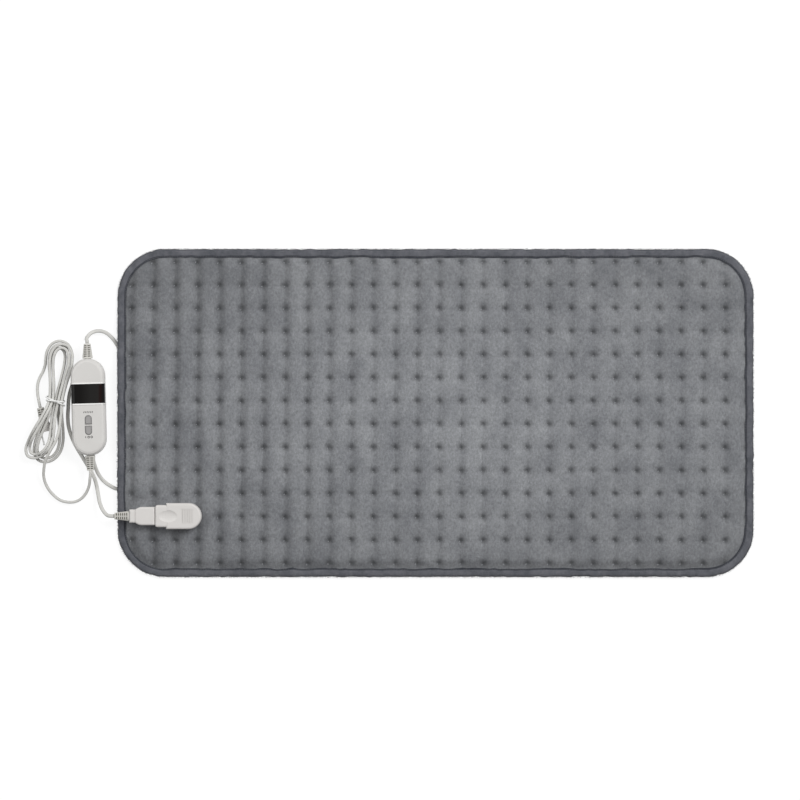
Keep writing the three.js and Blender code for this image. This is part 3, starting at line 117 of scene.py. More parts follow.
def rampBetween(tree, links, value, dark, light, low=0.3, high=0.7):
    ramp = tree.new("ShaderNodeValToRGB")
    for element, position, colour in zip(ramp.color_ramp.elements, (low, high), (dark, light)):
        element.position, element.color = position, colour
    links.new(value, ramp.inputs["Fac"])
    return ramp.outputs["Color"]


def objectAxes(tree, links):
    place = tree.new("ShaderNodeTexCoord")
    parts = tree.new("ShaderNodeSeparateXYZ")
    links.new(place.outputs["Object"], parts.inputs["Vector"])
    return parts.outputs["X"], parts.outputs["Y"]


def bumpFrom(tree, links, shader, heights, strength, distance):
    bump = tree.new("ShaderNodeBump")
    setInputs(bump, {"Strength": strength, "Distance": distance})
    links.new(heights, bump.inputs["Height"])
    links.new(bump.outputs["Normal"], shader.inputs["Normal"])


def ringQuads(rings, sides, joined=False):
    # four-sided faces between rings of points, row by row
    n, k = np.meshgrid(np.arange(rings if joined else rings - 1), np.arange(sides), indexing="ij")
    nextRing, nextSide = (n + 1) % rings, (k + 1) % sides
    corners = [n * sides + k, n * sides + nextSide, nextRing * sides + nextSide, nextRing * sides + k]
    return np.stack(corners, -1).reshape(-1, 4)


def closedTube(first, rings, sides):
    faces = (ringQuads(rings, sides) + first).tolist()
    faces.append(list(range(first + sides - 1, first - 1, -1)))
    faces.append(list(range(first + (rings - 1) * sides, first + rings * sides)))
    return faces


def ringsAlong(centre, ways, aside, across, up):
    # one cross-section at each point of a path, square to it
    ways = ways / np.linalg.norm(ways, axis=1)[:, None]
    side = np.cross(ways, aside)
    side /= np.linalg.norm(side, axis=1)[:, None]
    above = np.cross(side, ways)
    return centre[:, None, :] + side[:, None, :] * across[None, :, None] + above[:, None, :] * up[None, :, None]


def mouldedPlastic(name, colour, roughness, grainScale, grain, vary=0.03):
    material, tree, links, shader = newMaterial(name)
    cloudy = noiseValue(tree, links, 60, 2)
    dark = tuple(c * (1 - vary) for c in srgb(*colour)[:3]) + (1.0,)
    links.new(rampBetween(tree, links, cloudy, dark, srgb(*colour)), shader.inputs["Base Color"])
    shader.inputs["Roughness"].default_value = roughness
    bumpFrom(tree, links, shader, noiseValue(tree, links, grainScale, 4), grain, 0.0002)
    return material


def threadMaterial(name, colour, roughness, sheen):
    material, _, _, shader = newMaterial(name)
    setInputs(shader, {"Base Color": srgb(*colour), "Roughness": roughness, "Sheen Weight": sheen})
    return material


# Camera, light and floor

studio = {
    "middle": (-46.9, 17.2),  # what the middle of the picture looks at
    "width": 1056.0,  # of the picture, on the table
    "distance": 3600.0,
    "keyPlace": (1.95, 1.75, 2.5),
    "keySize": 1.8,
    "keyPower": 114.0,
    "fillPlace": (-1.8, 0.6, 1.6),
    "fillSize": 1.6,
    "fillPower": 20.0,
    "worldLevel": 0.275,
    "floorColour": 0.18,
    "floorGlow": 0.87,  # what the floor adds where it is seen, so that it is white and keeps the shadows
    "floorReach": 2.8,  # from its middle to its sides, in metres, as the lamps' places and sizes are
}


def lamp(name, place, size, power):
    data = bpy.data.lights.new(name, "AREA")
    data.energy, data.size = power, size
    light = bpy.data.objects.new(name, data)
    light.location = place
    light.rotation_euler = (Vector((0, 0, 0)) - Vector(place)).to_track_quat("-Z", "Y").to_euler()
    bpy.context.scene.collection.objects.link(light)


def cameraAndStudio():
    data = bpy.data.cameras.new("camera")
    data.lens = data.sensor_width * studio["distance"] / studio["width"]
    data.clip_start, data.clip_end = 0.05, 30
    camera = bpy.data.objects.new("camera", data)
    camera.location = (studio["middle"][0] * mm, studio["middle"][1] * mm, studio["distance"] * mm)
    bpy.context.scene.collection.objects.link(camera)
    bpy.context.scene.camera = camera

    lamp("key", studio["keyPlace"], studio["keySize"], studio["keyPower"])
    lamp("fill", studio["fillPlace"], studio["fillSize"], studio["fillPower"])

    world = bpy.data.worlds.new("studio")
    world.use_nodes = True
    bpy.context.scene.world = world
    tree, links = world.node_tree.nodes, world.node_tree.links
    ambient = tree["Background"]
    setInputs(ambient, {"Color": (1, 1, 1, 1), "Strength": studio["worldLevel"]})
    seen = tree.new("ShaderNodeBackground")
    setInputs(seen, {"Color": (1, 1, 1, 1), "Strength": 1.0})
    mix = tree.new("ShaderNodeMixShader")
    links.new(seenDirectly(tree, links), mix.inputs["Fac"])
    links.new(ambient.outputs["Background"], mix.inputs[1])
    links.new(seen.outputs["Background"], mix.inputs[2])
    links.new(mix.outputs["Shader"], tree["World Output"].inputs["Surface"])

    material, tree, links, shader = newMaterial("table_top")
    level = studio["floorColour"]
    setInputs(shader, {"Base Color": (level, level, level, 1), "Roughness": 0.9, "Specular IOR Level": 0.0})
    glow = tree.new("ShaderNodeEmission")
    power = reckon(tree, links, "MULTIPLY", seenDirectly(tree, links), studio["floorGlow"])
    links.new(power, glow.inputs["Strength"])
    both = tree.new("ShaderNodeAddShader")
    links.new(shader.outputs["BSDF"], both.inputs[0])
    links.new(glow.outputs["Emission"], both.inputs[1])
    links.new(both.outputs["Shader"], tree["Material Output"].inputs["Surface"])
    mesh = bpy.data.meshes.new("table_top")
    reach = studio["floorReach"]
    corners = [(-reach, -reach, 0), (reach, -reach, 0), (reach, reach, 0), (-reach, reach, 0)]
    mesh.from_pydata(corners, [], [(0, 1, 2, 3)])
    mesh.materials.append(material)
    floor = bpy.data.objects.new("table_top", mesh)
    bpy.context.scene.collection.objects.link(floor)
    bpy.context.scene.view_settings.view_transform = "Standard"
    print("camera, lights and floor")


def seenDirectly(tree, links):
    path = tree.new("ShaderNodeLightPath")
    seen = reckon(tree, links, "MAXIMUM", path.outputs["Is Camera Ray"], path.outputs["Is Glossy Ray"])
    return reckon(tree, links, "MAXIMUM", seen, path.outputs["Is Transmission Ray"])


cameraAndStudio()


# Leads: flat two-core cord, one tube from the pad's controller to its plug and one to the mains plug

lead = {
    "wide": 5.4,  # room that the routes leave for it
    "thick": 3.3,
    "padWide": 4.9,  # as shown, from the controller to the pad
    "padThick": 3.4,
    "mainsWide": 5.2,  # as shown, from the controller to the mains plug
    "mainsThick": 3.7,
    "groove": 0.16,  # between the two cores
    "grooveWidth": 0.5,
    "roundness": 0.85,  # 1 is an ellipse, less is squarer
    "mainsRoundness": 0.62,
    "sides": 28,
    "step": 2.0,
    "tableGap": 0.1,
    "startGap": 0.3,  # from a sleeve to the route's first point
    "colour": (200, 199, 195),
    "colourDrop": 7,  # how much darker its darkest places are
    "roughness": 0.55,
}

hank = {
    "x": -501.3,
    "y": 15.8,
    "start": 0.375,  # counted in turns, as its end and its change to the upper layer are
    "turn": 2.75,
    "end": 4.75,
    "climbTurns": 0.25,
    "changeBefore": 0.12,  # turns in which one layer's lobes pass into the other's
    "changeAfter": 0.02,
    "pitch": 4.3,
    "endPitch": 4.8,
    "waist": 0.8,
    "upperLobes": ((68.5, 17.0, 0.13), (66.5, 16.5, 0.18)),  # length, swell and lean, layer by layer
    "lowerLobes": ((72.0, 25.0, 0.12), (69.0, 26.0, 0.31)),
    "swellPitch": 5.0,
    "bow": 1400.0,
    "layerPitch": 6.3,
    "waistLift": 4.2,
    "waistReach": 38.0,
    "humpReach": 15.0,
    "humpSpare": 1.1,
    "riseReach": 19.0,
    "rightHump": 0.56,
    "rightHumpFrom": 0.55,
    "rightHumpReach": 0.3,
    "loopSteps": 24,
    "nudge": 0.002,  # in turns, to find which way the winding's ends point
    "slopeStep": 0.5,  # to each side, to find how steep its rise is
}

mainsPlug = {
    "x": -521.1,
    "y": 7.0,
    "heading": 13.4,
    "relief": 12.0,
    "length": 20.0,
    "rootWidth": 10.0,
    "width": 18.5,
    "thickness": 8.6,
    "blade": 17.0,
}

controllerAt = {
    "x": -456.1,
    "y": 7.9,
    "rest": 3.8,  # it lies on its own lead
    "lean": 1.5,
    "length": 127.4,
    "height": 20.0,
}

connectorAt = {
    "x": -368.3,  # where the plug meets the socket
    "y": -135.3,
    "rest": 9.3,  # height of its underside
    "body": 26.2,  # length of the plug behind its nose, and of its neck
    "neck": 7.8,
    "middle": 6.3,  # height of the pins and of the lead above its underside
}

sleeve = {
    "length": 19.4,
    "rows": 6,
    "root": (13.0, 9.4),  # width and height
    "mainsLength": 12.0,
    "mainsRows": 3,
    "mainsRoot": (10.0, 7.8),
    "thin": (8.6, 6.0),
    "collar": 1.6,
    "gap": 0.3,  # between the sleeve and what it comes out of
    "drop": 0.3,  # of its middle below the controller's
    "slotWidth": 2.9,
    "slotLength": 1.45,
    "slotSpacing": 1.3,
    "shadeDepth": 0.45,  # below the surface
    "shadeThick": 0.5,
    "shadeSpare": 0.02,
    "shade": (88, 86, 80),
}

padLeadRoute = [
    (-459.4, 97.5, 12.9), (-457.2, 101.6, 11.4), (-452.4, 106.1, 8.8), (-444.2, 108.4, 5.4),
    (-435, 106.1, 2.9), (-426.6, 99, 2.1), (-419.8, 89.1, 1.8), (-411.2, 74, 1.8),
    (-404.6, 55, 1.8), (-402, 30, 1.8), (-401.6, -2, 1.8), (-400.6, -36, 1.8),
    (-399.8, -62, 1.8), (-400.2, -80, 1.8), (-404, -93, 1.8), (-411.5, -100.4, 1.8),
    (-421.2, -99.9, 1.8), (-429.7, -95.7, 1.8), (-437.4, -90, 1.8), (-443.5, -82.5, 1.8),
    (-447.5, -74.6, 1.8), (-451.6, -61.4, 1.8), (-452.1, -46.2, 1.8), (-449.8, -9.2, 1.8),
    (-449.8, 23.8, 1.8), (-452.8, 46, 1.8), (-461.3, 58.6, 1.8), (-469.6, 59.4, 1.8),
    (-474.4, 53, 1.8), (-476.8, 44.6, 1.8), (-479.8, 35.6, 1.8), (-482.8, 25.6, 1.8),
    (-484.2, 15.8, 1.8), (-484.7, 5.6, 1.8), (-485.2, -5, 1.8), (-484.2, -17.2, 1.8),
    (-480.5, -30.4, 1.8), (-474.5, -43.6, 1.8), (-466.6, -56.8, 1.8), (-459.2, -69, 1.8),
    (-452.3, -80.9, 1.8), (-447.9, -92.4, 2.2), (-445.1, -105.6, 4.4), (-442.1, -118.8, 8.4),
    (-437, -129, 12.4), (-431, -134.6, 14.7),
]

mainsNearRoute = [
    (-491.6, 5, 13), (-492.8, -3, 13), (-493.8, -11, 13.2), (-494.8, -19, 13.8),
    (-496.2, -27, 15), (-498.6, -35, 16.8), (-502.2, -42.5, 18.2), (-506.6, -50, 18.6),
    (-510.4, -57, 17.6), (-513.4, -64.5, 15.4), (-515.4, -73.2, 12), (-516.2, -82.8, 8),
    (-514.2, -92.8, 4.6), (-507.5, -104.3, 2.9), (-494.3, -115.2, 2.8), (-479.3, -117.5, 2.8),
    (-469.3, -114.2, 2.9), (-461.3, -106.3, 4.6), (-456.3, -95.6, 8.6), (-454.8, -86.4, 12.2),
]

mainsFarRoute = [
    (-523, 16, 4.9), (-524.8, 27.5, 4.2), (-524.6, 38, 3.3), (-521.8, 47, 2.8),
    (-517.8, 54.5, 2.8),
]


def onController(x, y, z):
    lean = math.radians(controllerAt["lean"])
    return np.array([
        controllerAt["x"] + x * math.cos(lean) - y * math.sin(lean),
        controllerAt["y"] + x * math.sin(lean) + y * math.cos(lean),
        controllerAt["rest"] + z,
    ])


def plugDistance(x, y):
    turn = math.radians(mainsPlug["heading"])
    fromX, fromY = x - mainsPlug["x"], y - mainsPlug["y"]
    along = fromX * math.sin(turn) - fromY * math.cos(turn)
    across = fromX * math.cos(turn) + fromY * math.sin(turn)
    widening = float(smooth((along - mainsPlug["relief"]) / mainsPlug["length"]))
    half = (mainsPlug["rootWidth"] + (mainsPlug["width"] - mainsPlug["rootWidth"]) * widening + lead["thick"]) / 2
    reach = mainsPlug["relief"] + mainsPlug["length"] + mainsPlug["blade"]
    return math.hypot(max(abs(across) - half, 0), max(-along, along - reach, 0))


def hankRise(x, y, plugShare):
    down = y - hank["y"]
    waist = hank["waistLift"] * (1 - float(smooth(abs(down) / hank["waistReach"])))
    near = plugShare * (1 - float(smooth(plugDistance(x, y) / hank["humpReach"])))
    below = float(smooth(-down / hank["riseReach"]))
    return waist + (mainsPlug["thickness"] + hank["humpSpare"] - waist) * near * below


def hankPoint(turns):
    past = turns - hank["turn"]
    spiral = abs(past)
    angle = 2 * math.pi * turns
    ahead, aside = math.cos(angle), math.sin(angle)
    change = float(smooth((past + hank["changeBefore"]) / (hank["changeBefore"] + hank["changeAfter"])))
    first, second = hank["upperLobes" if ahead < 0 else "lowerLobes"]
    lobeLength, lobeSwell, lean = (a + (b - a) * change for a, b in zip(first, second))
    swell = lobeSwell + hank["swellPitch"] * spiral
    half = hank["waist"] + hank["pitch"] * spiral + swell * ahead * ahead
    down = -(lobeLength + hank["endPitch"] * spiral * ahead * ahead) * ahead
    x = hank["x"] + lean * down - down * down / hank["bow"] - aside * half
    y = hank["y"] + down
    climb = float(smooth((past + hank["climbTurns"]) / (2 * hank["climbTurns"])))
    nearEnd = float(smooth((ahead * ahead - hank["rightHumpFrom"]) / hank["rightHumpReach"]))
    rightShare = climb * (hank["rightHump"] + (1 - hank["rightHump"]) * nearEnd)
    share, e = 1.0 if aside > 0 else rightShare, hank["slopeStep"]
    slope = math.hypot(
        (hankRise(x + e, y, share) - hankRise(x - e, y, share)) / (2 * e),
        (hankRise(x, y + e, share) - hankRise(x, y - e, share)) / (2 * e),
    )
    up = lead["tableGap"] + math.hypot(1, slope) * (lead["wide"] / 2 + hank["layerPitch"] * climb)
    return np.array([x, y, hankRise(x, y, share) + up])


def straightEnd(face, out):
    way = out / np.linalg.norm(out)
    return [face + way * lead["startGap"], face + way * lead["thick"]]


def centripetal(points, step):
    points = [np.asarray(p, float) for p in points]
    ends = [2 * points[0] - points[1]] + points + [2 * points[-1] - points[-2]]
    out = []
    for n in range(1, len(ends) - 2):
        p0, p1, p2, p3 = ends[n - 1 : n + 3]
        t = [max(np.linalg.norm(b - a) ** 0.5, 1e-6) for a, b in ((p0, p1), (p1, p2), (p2, p3))]
        m1 = (p2 - p1) + t[1] * ((p1 - p0) / t[0] - (p2 - p0) / (t[0] + t[1]))
        m2 = (p2 - p1) + t[1] * ((p3 - p2) / t[2] - (p3 - p1) / (t[1] + t[2]))
        count = max(2, int(np.linalg.norm(p2 - p1) / step * 3))
        for k in range(count):
            u = k / count
            h00, h10 = 2 * u**3 - 3 * u**2 + 1, u**3 - 2 * u**2 + u
            h01, h11 = -2 * u**3 + 3 * u**2, u**3 - u**2
            out.append(h00 * p1 + h10 * m1 + h01 * p2 + h11 * m2)
    out.append(points[-1])
    dense = np.array(out)
    reach = np.concatenate([[0], np.cumsum(np.linalg.norm(np.diff(dense, axis=0), axis=1))])
    count = int(reach[-1] / step)
    marks = np.linspace(0, reach[-1], count + 1)
    return np.stack([np.interp(marks, reach, dense[:, k]) for k in range(3)], axis=1), reach[-1]


def leadProfile(onEdge):
    wide, thick = (lead["mainsWide"], lead["mainsThick"]) if onEdge else (lead["padWide"], lead["padThick"])
    power = lead["mainsRoundness"] if onEdge else lead["roundness"]
    angles = np.linspace(0, 2 * math.pi, lead["sides"], endpoint=False)
    across = wide / 2 * np.sign(np.cos(angles)) * np.abs(np.cos(angles)) ** power
    up = thick / 2 * np.sign(np.sin(angles)) * np.abs(np.sin(angles)) ** power
    up = up - np.sign(up) * lead["groove"] * np.exp(-((across / lead["grooveWidth"]) ** 2))
    return (up, across) if onEdge else (across, up)


def leadTube(name, centre, onEdge, material, body=padBody):
    across, up = leadProfile(onEdge)
    rings = ringsAlong(centre, np.gradient(centre, axis=0), [0, 0, 1.0], across, up)
    count, sides = len(centre), lead["sides"]
    faces = ringQuads(count, sides)[:, ::-1].tolist()
    faces += [list(range(sides)), list(range((count - 1) * sides, count * sides))[::-1]]
    return newPiece(name, rings.reshape(-1, 3), faces, material, body)


def leadMaterial():
    material, tree, links, shader = newMaterial("cord_jacket")
    light, dark = lead["colour"], [c - lead["colourDrop"] for c in lead["colour"]]
    cloudy = noiseValue(tree, links, 90, 2)
    links.new(rampBetween(tree, links, cloudy, srgb(*dark), srgb(*light)), shader.inputs["Base Color"])
    shader.inputs["Roughness"].default_value = lead["roughness"]
    bumpFrom(tree, links, shader, noiseValue(tree, links, 1400, 3), 0.1, 0.0002)
    return material


def runOut(turns, inward):
    # a straight start for the end of the winding, one lead's thickness long
    end = hankPoint(turns)
    way = end - hankPoint(turns + inward)
    return end + way / np.linalg.norm(way) * lead["thick"]


def makeLeads():
    material = leadMaterial()
    tip = sleeve["length"] + controllerAt["length"] / 2 + sleeve["gap"]
    high = controllerAt["height"] / 2 - sleeve["drop"]
    upperTip, lowerTip = onController(0, tip, high), onController(0, -tip, high)
    upper = straightEnd(upperTip, onController(0, tip + 1, high) - upperTip)
    lower = straightEnd(lowerTip, onController(0, -tip - 1, high) - lowerTip)
    plugBack = connectorAt["x"] - connectorAt["body"] - connectorAt["neck"] - sleeve["gap"] - sleeve["length"]
    plugEnd = straightEnd(
        np.array([plugBack, connectorAt["y"], connectorAt["rest"] + connectorAt["middle"]]),
        np.array([-1.0, 0, 0]),
    )
    padRoute = [*upper, *[np.array(p, float) for p in padLeadRoute], *plugEnd[::-1]]
    centre, padLength = centripetal(padRoute, lead["step"])
    padLead = leadTube("pad_lead_cord", centre, False, material, None)
    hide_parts("pad_lead")

    steps = math.ceil((hank["end"] - hank["start"]) * hank["loopSteps"])
    wound = [hankPoint(hank["start"] + (hank["end"] - hank["start"]) * n / steps) for n in range(steps + 1)]
    before, after = runOut(hank["start"], hank["nudge"]), runOut(hank["end"], -hank["nudge"])
    heading = math.radians(mainsPlug["heading"])
    plugTop = np.array([mainsPlug["x"], mainsPlug["y"], lead["tableGap"] + mainsPlug["thickness"] / 2])
    away = np.array([-math.sin(heading), math.cos(heading), 0.0])
    near = [np.array(p, float) for p in mainsNearRoute]
    far = [np.array(p, float) for p in mainsFarRoute]
    mainsRoute = [*lower, *near[::-1], after, *wound[::-1], before, *far[::-1], *straightEnd(plugTop, away)[::-1]]
    centre, mainsLength = centripetal(mainsRoute, lead["step"])
    mainsLead = leadTube("mains_lead_cord", centre, True, material)
    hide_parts("mains_lead_near", "cord_hank", "mains_lead_far")
    print(f"leads: pad lead {padLength:.0f} mm, mains lead {mainsLength:.0f} mm")
    return padLead, padRoute, mainsLead, mainsRoute


padLeadPiece, padRoute, mainsLeadPiece, mainsRoute = makeLeads()


# Pad: tufted plush cover, plain cloth underside and the plush tape round its edge

pad = {
    "length": 838.0,
    "width": 432.0,
    "corner": 62.0,
    "tape": 11.0,  # width of the edge tape
    "edge": 5.7,
    "inset": 3.2,  # from the outline to the cover and the cloth, inside the tape
    "coverLow": 2.75,  # height of the cover's own lower side
    "firstColumn": -401.9,
    "columnPitch": 28.97,
    "columns": 29,
    "firstRow": -198.5,
    "rowPitch": 30.54,
    "rows": 14,
    "stray": 0.45,  # how far a tuft stands from its place
    "seed": 11,
    "stitchInset": 10.0,
    "columnSteps": (0, 0.8, 1.6, 2.6, 4.0, 6.0, 8.6, 11.4),  # lines of the cover's net beside a column of tufts
    "rowSteps": (0, 1.0, 2.2, 3.8, 6.0, 9.0, 12.2),
    "netGap": 0.45,  # least distance between two lines of the net
}

surface = {
    "crown": 10.4,
    "settle": 0.35,  # how far the whole cover stays below that
    "above": 0.15,  # how far its rumples may pass it
    "lowest": 5.05,
    "pinch": 1.9,  # how deep a tuft's thread draws the cover in
    "pinchWidth": 2.9,
    "pinchPower": 1.6,
    "pinchStretch": (0.85, 1.15),
    "dish": 1.7,
    "dishWidth": 6.2,
    "channel": 2.7,  # soft hollow along a column of tufts
    "channelWidth": 6.4,
    "crease": 0.9,  # sharp fold between two tufts of a column
    "creaseWidth": 1.0,
    "rowChannel": 0.35,
    "rowChannelWidth": 6.5,
    "rowCrease": 0.3,
    "rowCreaseWidth": 1.1,
    "rumple": 0.62,
    "rumples": ((0.55, 21, 5), (0.42, 9.5, 6), (0.22, 4.3, 7)),  # height, size and seed
    "edgeDrop": 1.35,  # below the pad's edge, where it goes under the tape
    "edgeFrom": 10.4,  # from the outline
    "edgeRise": 13.0,  # the cover stands up this close to the tape
    "edgePower": 0.8,
}

padLift = {
    "height": 4.8,  # where the lead passes under the pad
    "first": (-401.5, -198.5),
    "pitch": (28.679, 30.538),
    "columns": (1, 0.4, 0),  # share of the height, column by column and row by row
    "rows": (0, 0, 0, 0.85, 1, 1, 1, 1, 1, 1, 1, 0.15, 0, 0),
    "spread": ((-7.0, 0.0, 7.0), (-12.0, -6.0, 0.0, 6.0, 12.0)),
}

connectorRoom = {
    "gap": 0.4,  # between the cover and the connector
    "shift": 7.0,
    "long": 118.0,
    "wide": 38.0,
    "rise": 7.0,
    "fade": 18.0,
}


def liftAt(x, y):
    total = 0.0
    spreadX, spreadY = padLift["spread"]
    for alongX in spreadX:
        for alongY in spreadY:
            column = (x + alongX - padLift["first"][0]) / padLift["pitch"][0]
            row = (y + alongY - padLift["first"][1]) / padLift["pitch"][1]
            raised = np.interp(column, range(len(padLift["columns"])), padLift["columns"])
            total = total + raised * np.interp(row, range(len(padLift["rows"])), padLift["rows"])
    return padLift["height"] * total / (len(spreadX) * len(spreadY))


def edgeDistance(x, y):
    cornerX, cornerY = pad["length"] / 2 - pad["corner"], pad["width"] / 2 - pad["corner"]
    outX, outY = np.abs(x) - cornerX, np.abs(y) - cornerY
    outside = np.hypot(np.maximum(outX, 0), np.maximum(outY, 0)) + np.minimum(np.maximum(outX, outY), 0)
    return pad["corner"] - outside


def valueNoise(x, y, size, seed):
    table = np.random.default_rng(seed).random((128, 128))
    u, v = x / size + 40.0, y / size + 40.0
    i, j = np.floor(u).astype(int), np.floor(v).astype(int)
    fu, fv = smooth(u - i), smooth(v - j)

    def at(a, b):
        return table[a % 128, b % 128]

    return (
        at(i, j) * (1 - fu) * (1 - fv)
        + at(i + 1, j) * fu * (1 - fv)
        + at(i, j + 1) * (1 - fu) * fv
        + at(i + 1, j + 1) * fu * fv
        - 0.5
    )


def noiseLayers(layers, x, y):
    return sum(height * valueNoise(x, y, size, seed) for height, size, seed in layers)


def tuftStrays():
    return np.random.default_rng(pad["seed"]).normal(0, pad["stray"], (2, pad["columns"], pad["rows"]))


def coverHeight(x, y):
    strays = tuftStrays()
    column = np.clip(np.round((x - pad["firstColumn"]) / pad["columnPitch"]), 0, pad["columns"] - 1).astype(int)
    row = np.clip(np.round((y - pad["firstRow"]) / pad["rowPitch"]), 0, pad["rows"] - 1).astype(int)
    dx = x - pad["firstColumn"] - column * pad["columnPitch"] - strays[0, column, row]
    dy = y - pad["firstRow"] - row * pad["rowPitch"] - strays[1, column, row]
    away = np.hypot(dx / surface["pinchStretch"][0], dy / surface["pinchStretch"][1])
    pinch = surface["pinch"] * np.exp(-((away / surface["pinchWidth"]) ** surface["pinchPower"]))
    dish = surface["dish"] * np.exp(-((away / surface["dishWidth"]) ** 2))

    # folds run from tuft to tuft, deep on some stretches and gone on others
    fold = dx + 1.5 * valueNoise(column * 31.0, y, 9, 31) + 0.7 * valueNoise(x, y, 4, 32)
    strength = np.clip(0.35 + 1.7 * valueNoise(column * 53.0, y, 34, 33), 0, 1)
    leftward = np.clip(0.55 - x / 700, 0.2, 1.3)
    crease = surface["crease"] * leftward * strength * np.exp(-((fold / surface["creaseWidth"]) ** 2))
    channel = surface["channel"] * (0.75 + 0.8 * valueNoise(column * 17.0, y, 48, 34))
    channel = channel * leftward * np.exp(-((fold / surface["channelWidth"]) ** 2))
    rowFold = dy + 1.6 * valueNoise(x, row * 37.0, 10, 35)
    rowStrength = np.clip(0.15 + 1.5 * valueNoise(x, row * 41.0, 40, 36) - x / 1500, 0, 1)
    rowCrease = surface["rowCrease"] * rowStrength * np.exp(-((rowFold / surface["rowCreaseWidth"]) ** 2))
    rowChannel = surface["rowChannel"] * np.exp(-((dy / surface["rowChannelWidth"]) ** 2))

    rumple = surface["rumple"] * noiseLayers(surface["rumples"], x, y)
    height = surface["crown"] - surface["settle"] - pinch - dish - crease - channel - rowCrease - rowChannel
    height = height + rumple
    height = np.clip(height, surface["lowest"], surface["crown"] + surface["above"])
    edge = pad["edge"] - surface["edgeDrop"]
    risen = smooth((edgeDistance(x, y) - surface["edgeFrom"]) / surface["edgeRise"]) ** surface["edgePower"]
    return edge + (height - edge) * risen


def underConnector(x, y, height):
    # the cover keeps below the connector and rises again round it
    pastEnds = np.abs(x - connectorAt["x"] - connectorRoom["shift"]) - connectorRoom["long"] / 2
    pastSides = np.abs(y - connectorAt["y"]) - connectorRoom["wide"] / 2
    away = np.hypot(np.maximum(pastEnds, 0), np.maximum(pastSides, 0))
    most = connectorAt["rest"] - connectorRoom["gap"] + connectorRoom["rise"] * smooth(away / connectorRoom["fade"])
    return np.minimum(height, most)


def netLines(first, pitch, count, steps, limit):
    lines = {round(v, 4) for v in np.linspace(-limit, limit, 3)}
    for n in range(count):
        for step in steps:
            lines.update({round(first + n * pitch + step, 4), round(first + n * pitch - step, 4)})
        if n < count - 1:
            lines.add(round(first + (n + 0.5) * pitch, 4))
    inside = sorted(v for v in lines if -limit <= v <= limit)
    kept = [inside[0]]
    for v in inside[1:]:
        if v - kept[-1] > pad["netGap"]:
            kept.append(v)
    return np.array(kept)


plush = {
    "light": (147, 149, 152),
    "dark": (121, 123, 127),
    "patches": 24.0,  # scales of its patches, nap, specks and fibres
    "nap": 240,
    "napShare": 0.4,
    "specks": 430,
    "speckDepth": 1.1,
    "fibres": 620,
    "fibreHeight": 0.0016,
    "spotSize": (5.0, 4.3),  # of the painted shade at a tuft, where the thread draws the cover in
    "spotShift": (1.2, 0.9),
    "spotDepth": 0.52,
    "bandWidth": 5.6,  # of the band of painted shade beside a column
    "bandShift": 4.2,
    "bandDepth": 0.24,
    "bandRight": 0.2,  # share of it that is left towards the right
    "bandFade": 0.25,  # where that is reached, right of the middle, in half lengths
    "endsDarker": 0.17,  # of painted shade towards both ends, and towards both long sides
    "sidesDarker": 0.2,
}


def latticeOffset(tree, links, along, first, pitch, shift, wide):
    # squared distance to the nearest line of tufts, counted in widths
    steps = reckon(tree, links, "MULTIPLY_ADD", along, 1000 / pitch, 0.5 - (first + shift) / pitch)
    part = reckon(tree, links, "FRACT", steps)
    off = reckon(tree, links, "MULTIPLY_ADD", part, pitch / wide, -0.5 * pitch / wide)
    return reckon(tree, links, "MULTIPLY", off, off)


def fadeFrom(tree, links, squared):
    return reckon(tree, links, "POWER", math.e, reckon(tree, links, "MULTIPLY", squared, -1.0))


def paintedTuftShade(tree, links):
    # painted shade on the plush: darker where a thread draws it in, beside the columns and towards the edges
    x, y = objectAxes(tree, links)
    shiftX, shiftY = plush["spotShift"]
    wide, high = plush["spotSize"]
    columns = pad["firstColumn"], pad["columnPitch"]
    besideColumn = latticeOffset(tree, links, x, *columns, shiftX, wide)
    besideRow = latticeOffset(tree, links, y, pad["firstRow"], pad["rowPitch"], shiftY, high)
    spot = fadeFrom(tree, links, reckon(tree, links, "ADD", besideColumn, besideRow))
    band = fadeFrom(tree, links, latticeOffset(tree, links, x, *columns, plush["bandShift"], plush["bandWidth"]))
    reach = pad["length"] / 2 * mm
    left = tree.new("ShaderNodeMapRange")
    left.interpolation_type = "SMOOTHSTEP"
    setInputs(left, {"From Min": -reach, "From Max": plush["bandFade"] * reach, "To Min": 1.0, "To Max": 0.0})
    links.new(x, left.inputs["Value"])
    depth, least = plush["bandDepth"], plush["bandRight"]
    bandDepth = reckon(tree, links, "MULTIPLY_ADD", left.outputs["Result"], (1 - least) * depth, least * depth)
    fromBand = reckon(tree, links, "SUBTRACT", 1.0, reckon(tree, links, "MULTIPLY", band, bandDepth))
    fromSpot = reckon(tree, links, "MULTIPLY_ADD", spot, -plush["spotDepth"], 1.0)
    total = reckon(tree, links, "MULTIPLY", fromBand, fromSpot)
    # painted shade: the plush darkens towards its ends and long sides, where less light falls
    for along, size, darker in ((x, pad["length"], plush["endsDarker"]), (y, pad["width"], plush["sidesDarker"])):
        out = reckon(tree, links, "MULTIPLY", along, 2 / size / mm)
        squared = reckon(tree, links, "MULTIPLY", out, out)
        total = reckon(tree, links, "MULTIPLY", total, reckon(tree, links, "MULTIPLY_ADD", squared, -darker, 1.0))
    return total


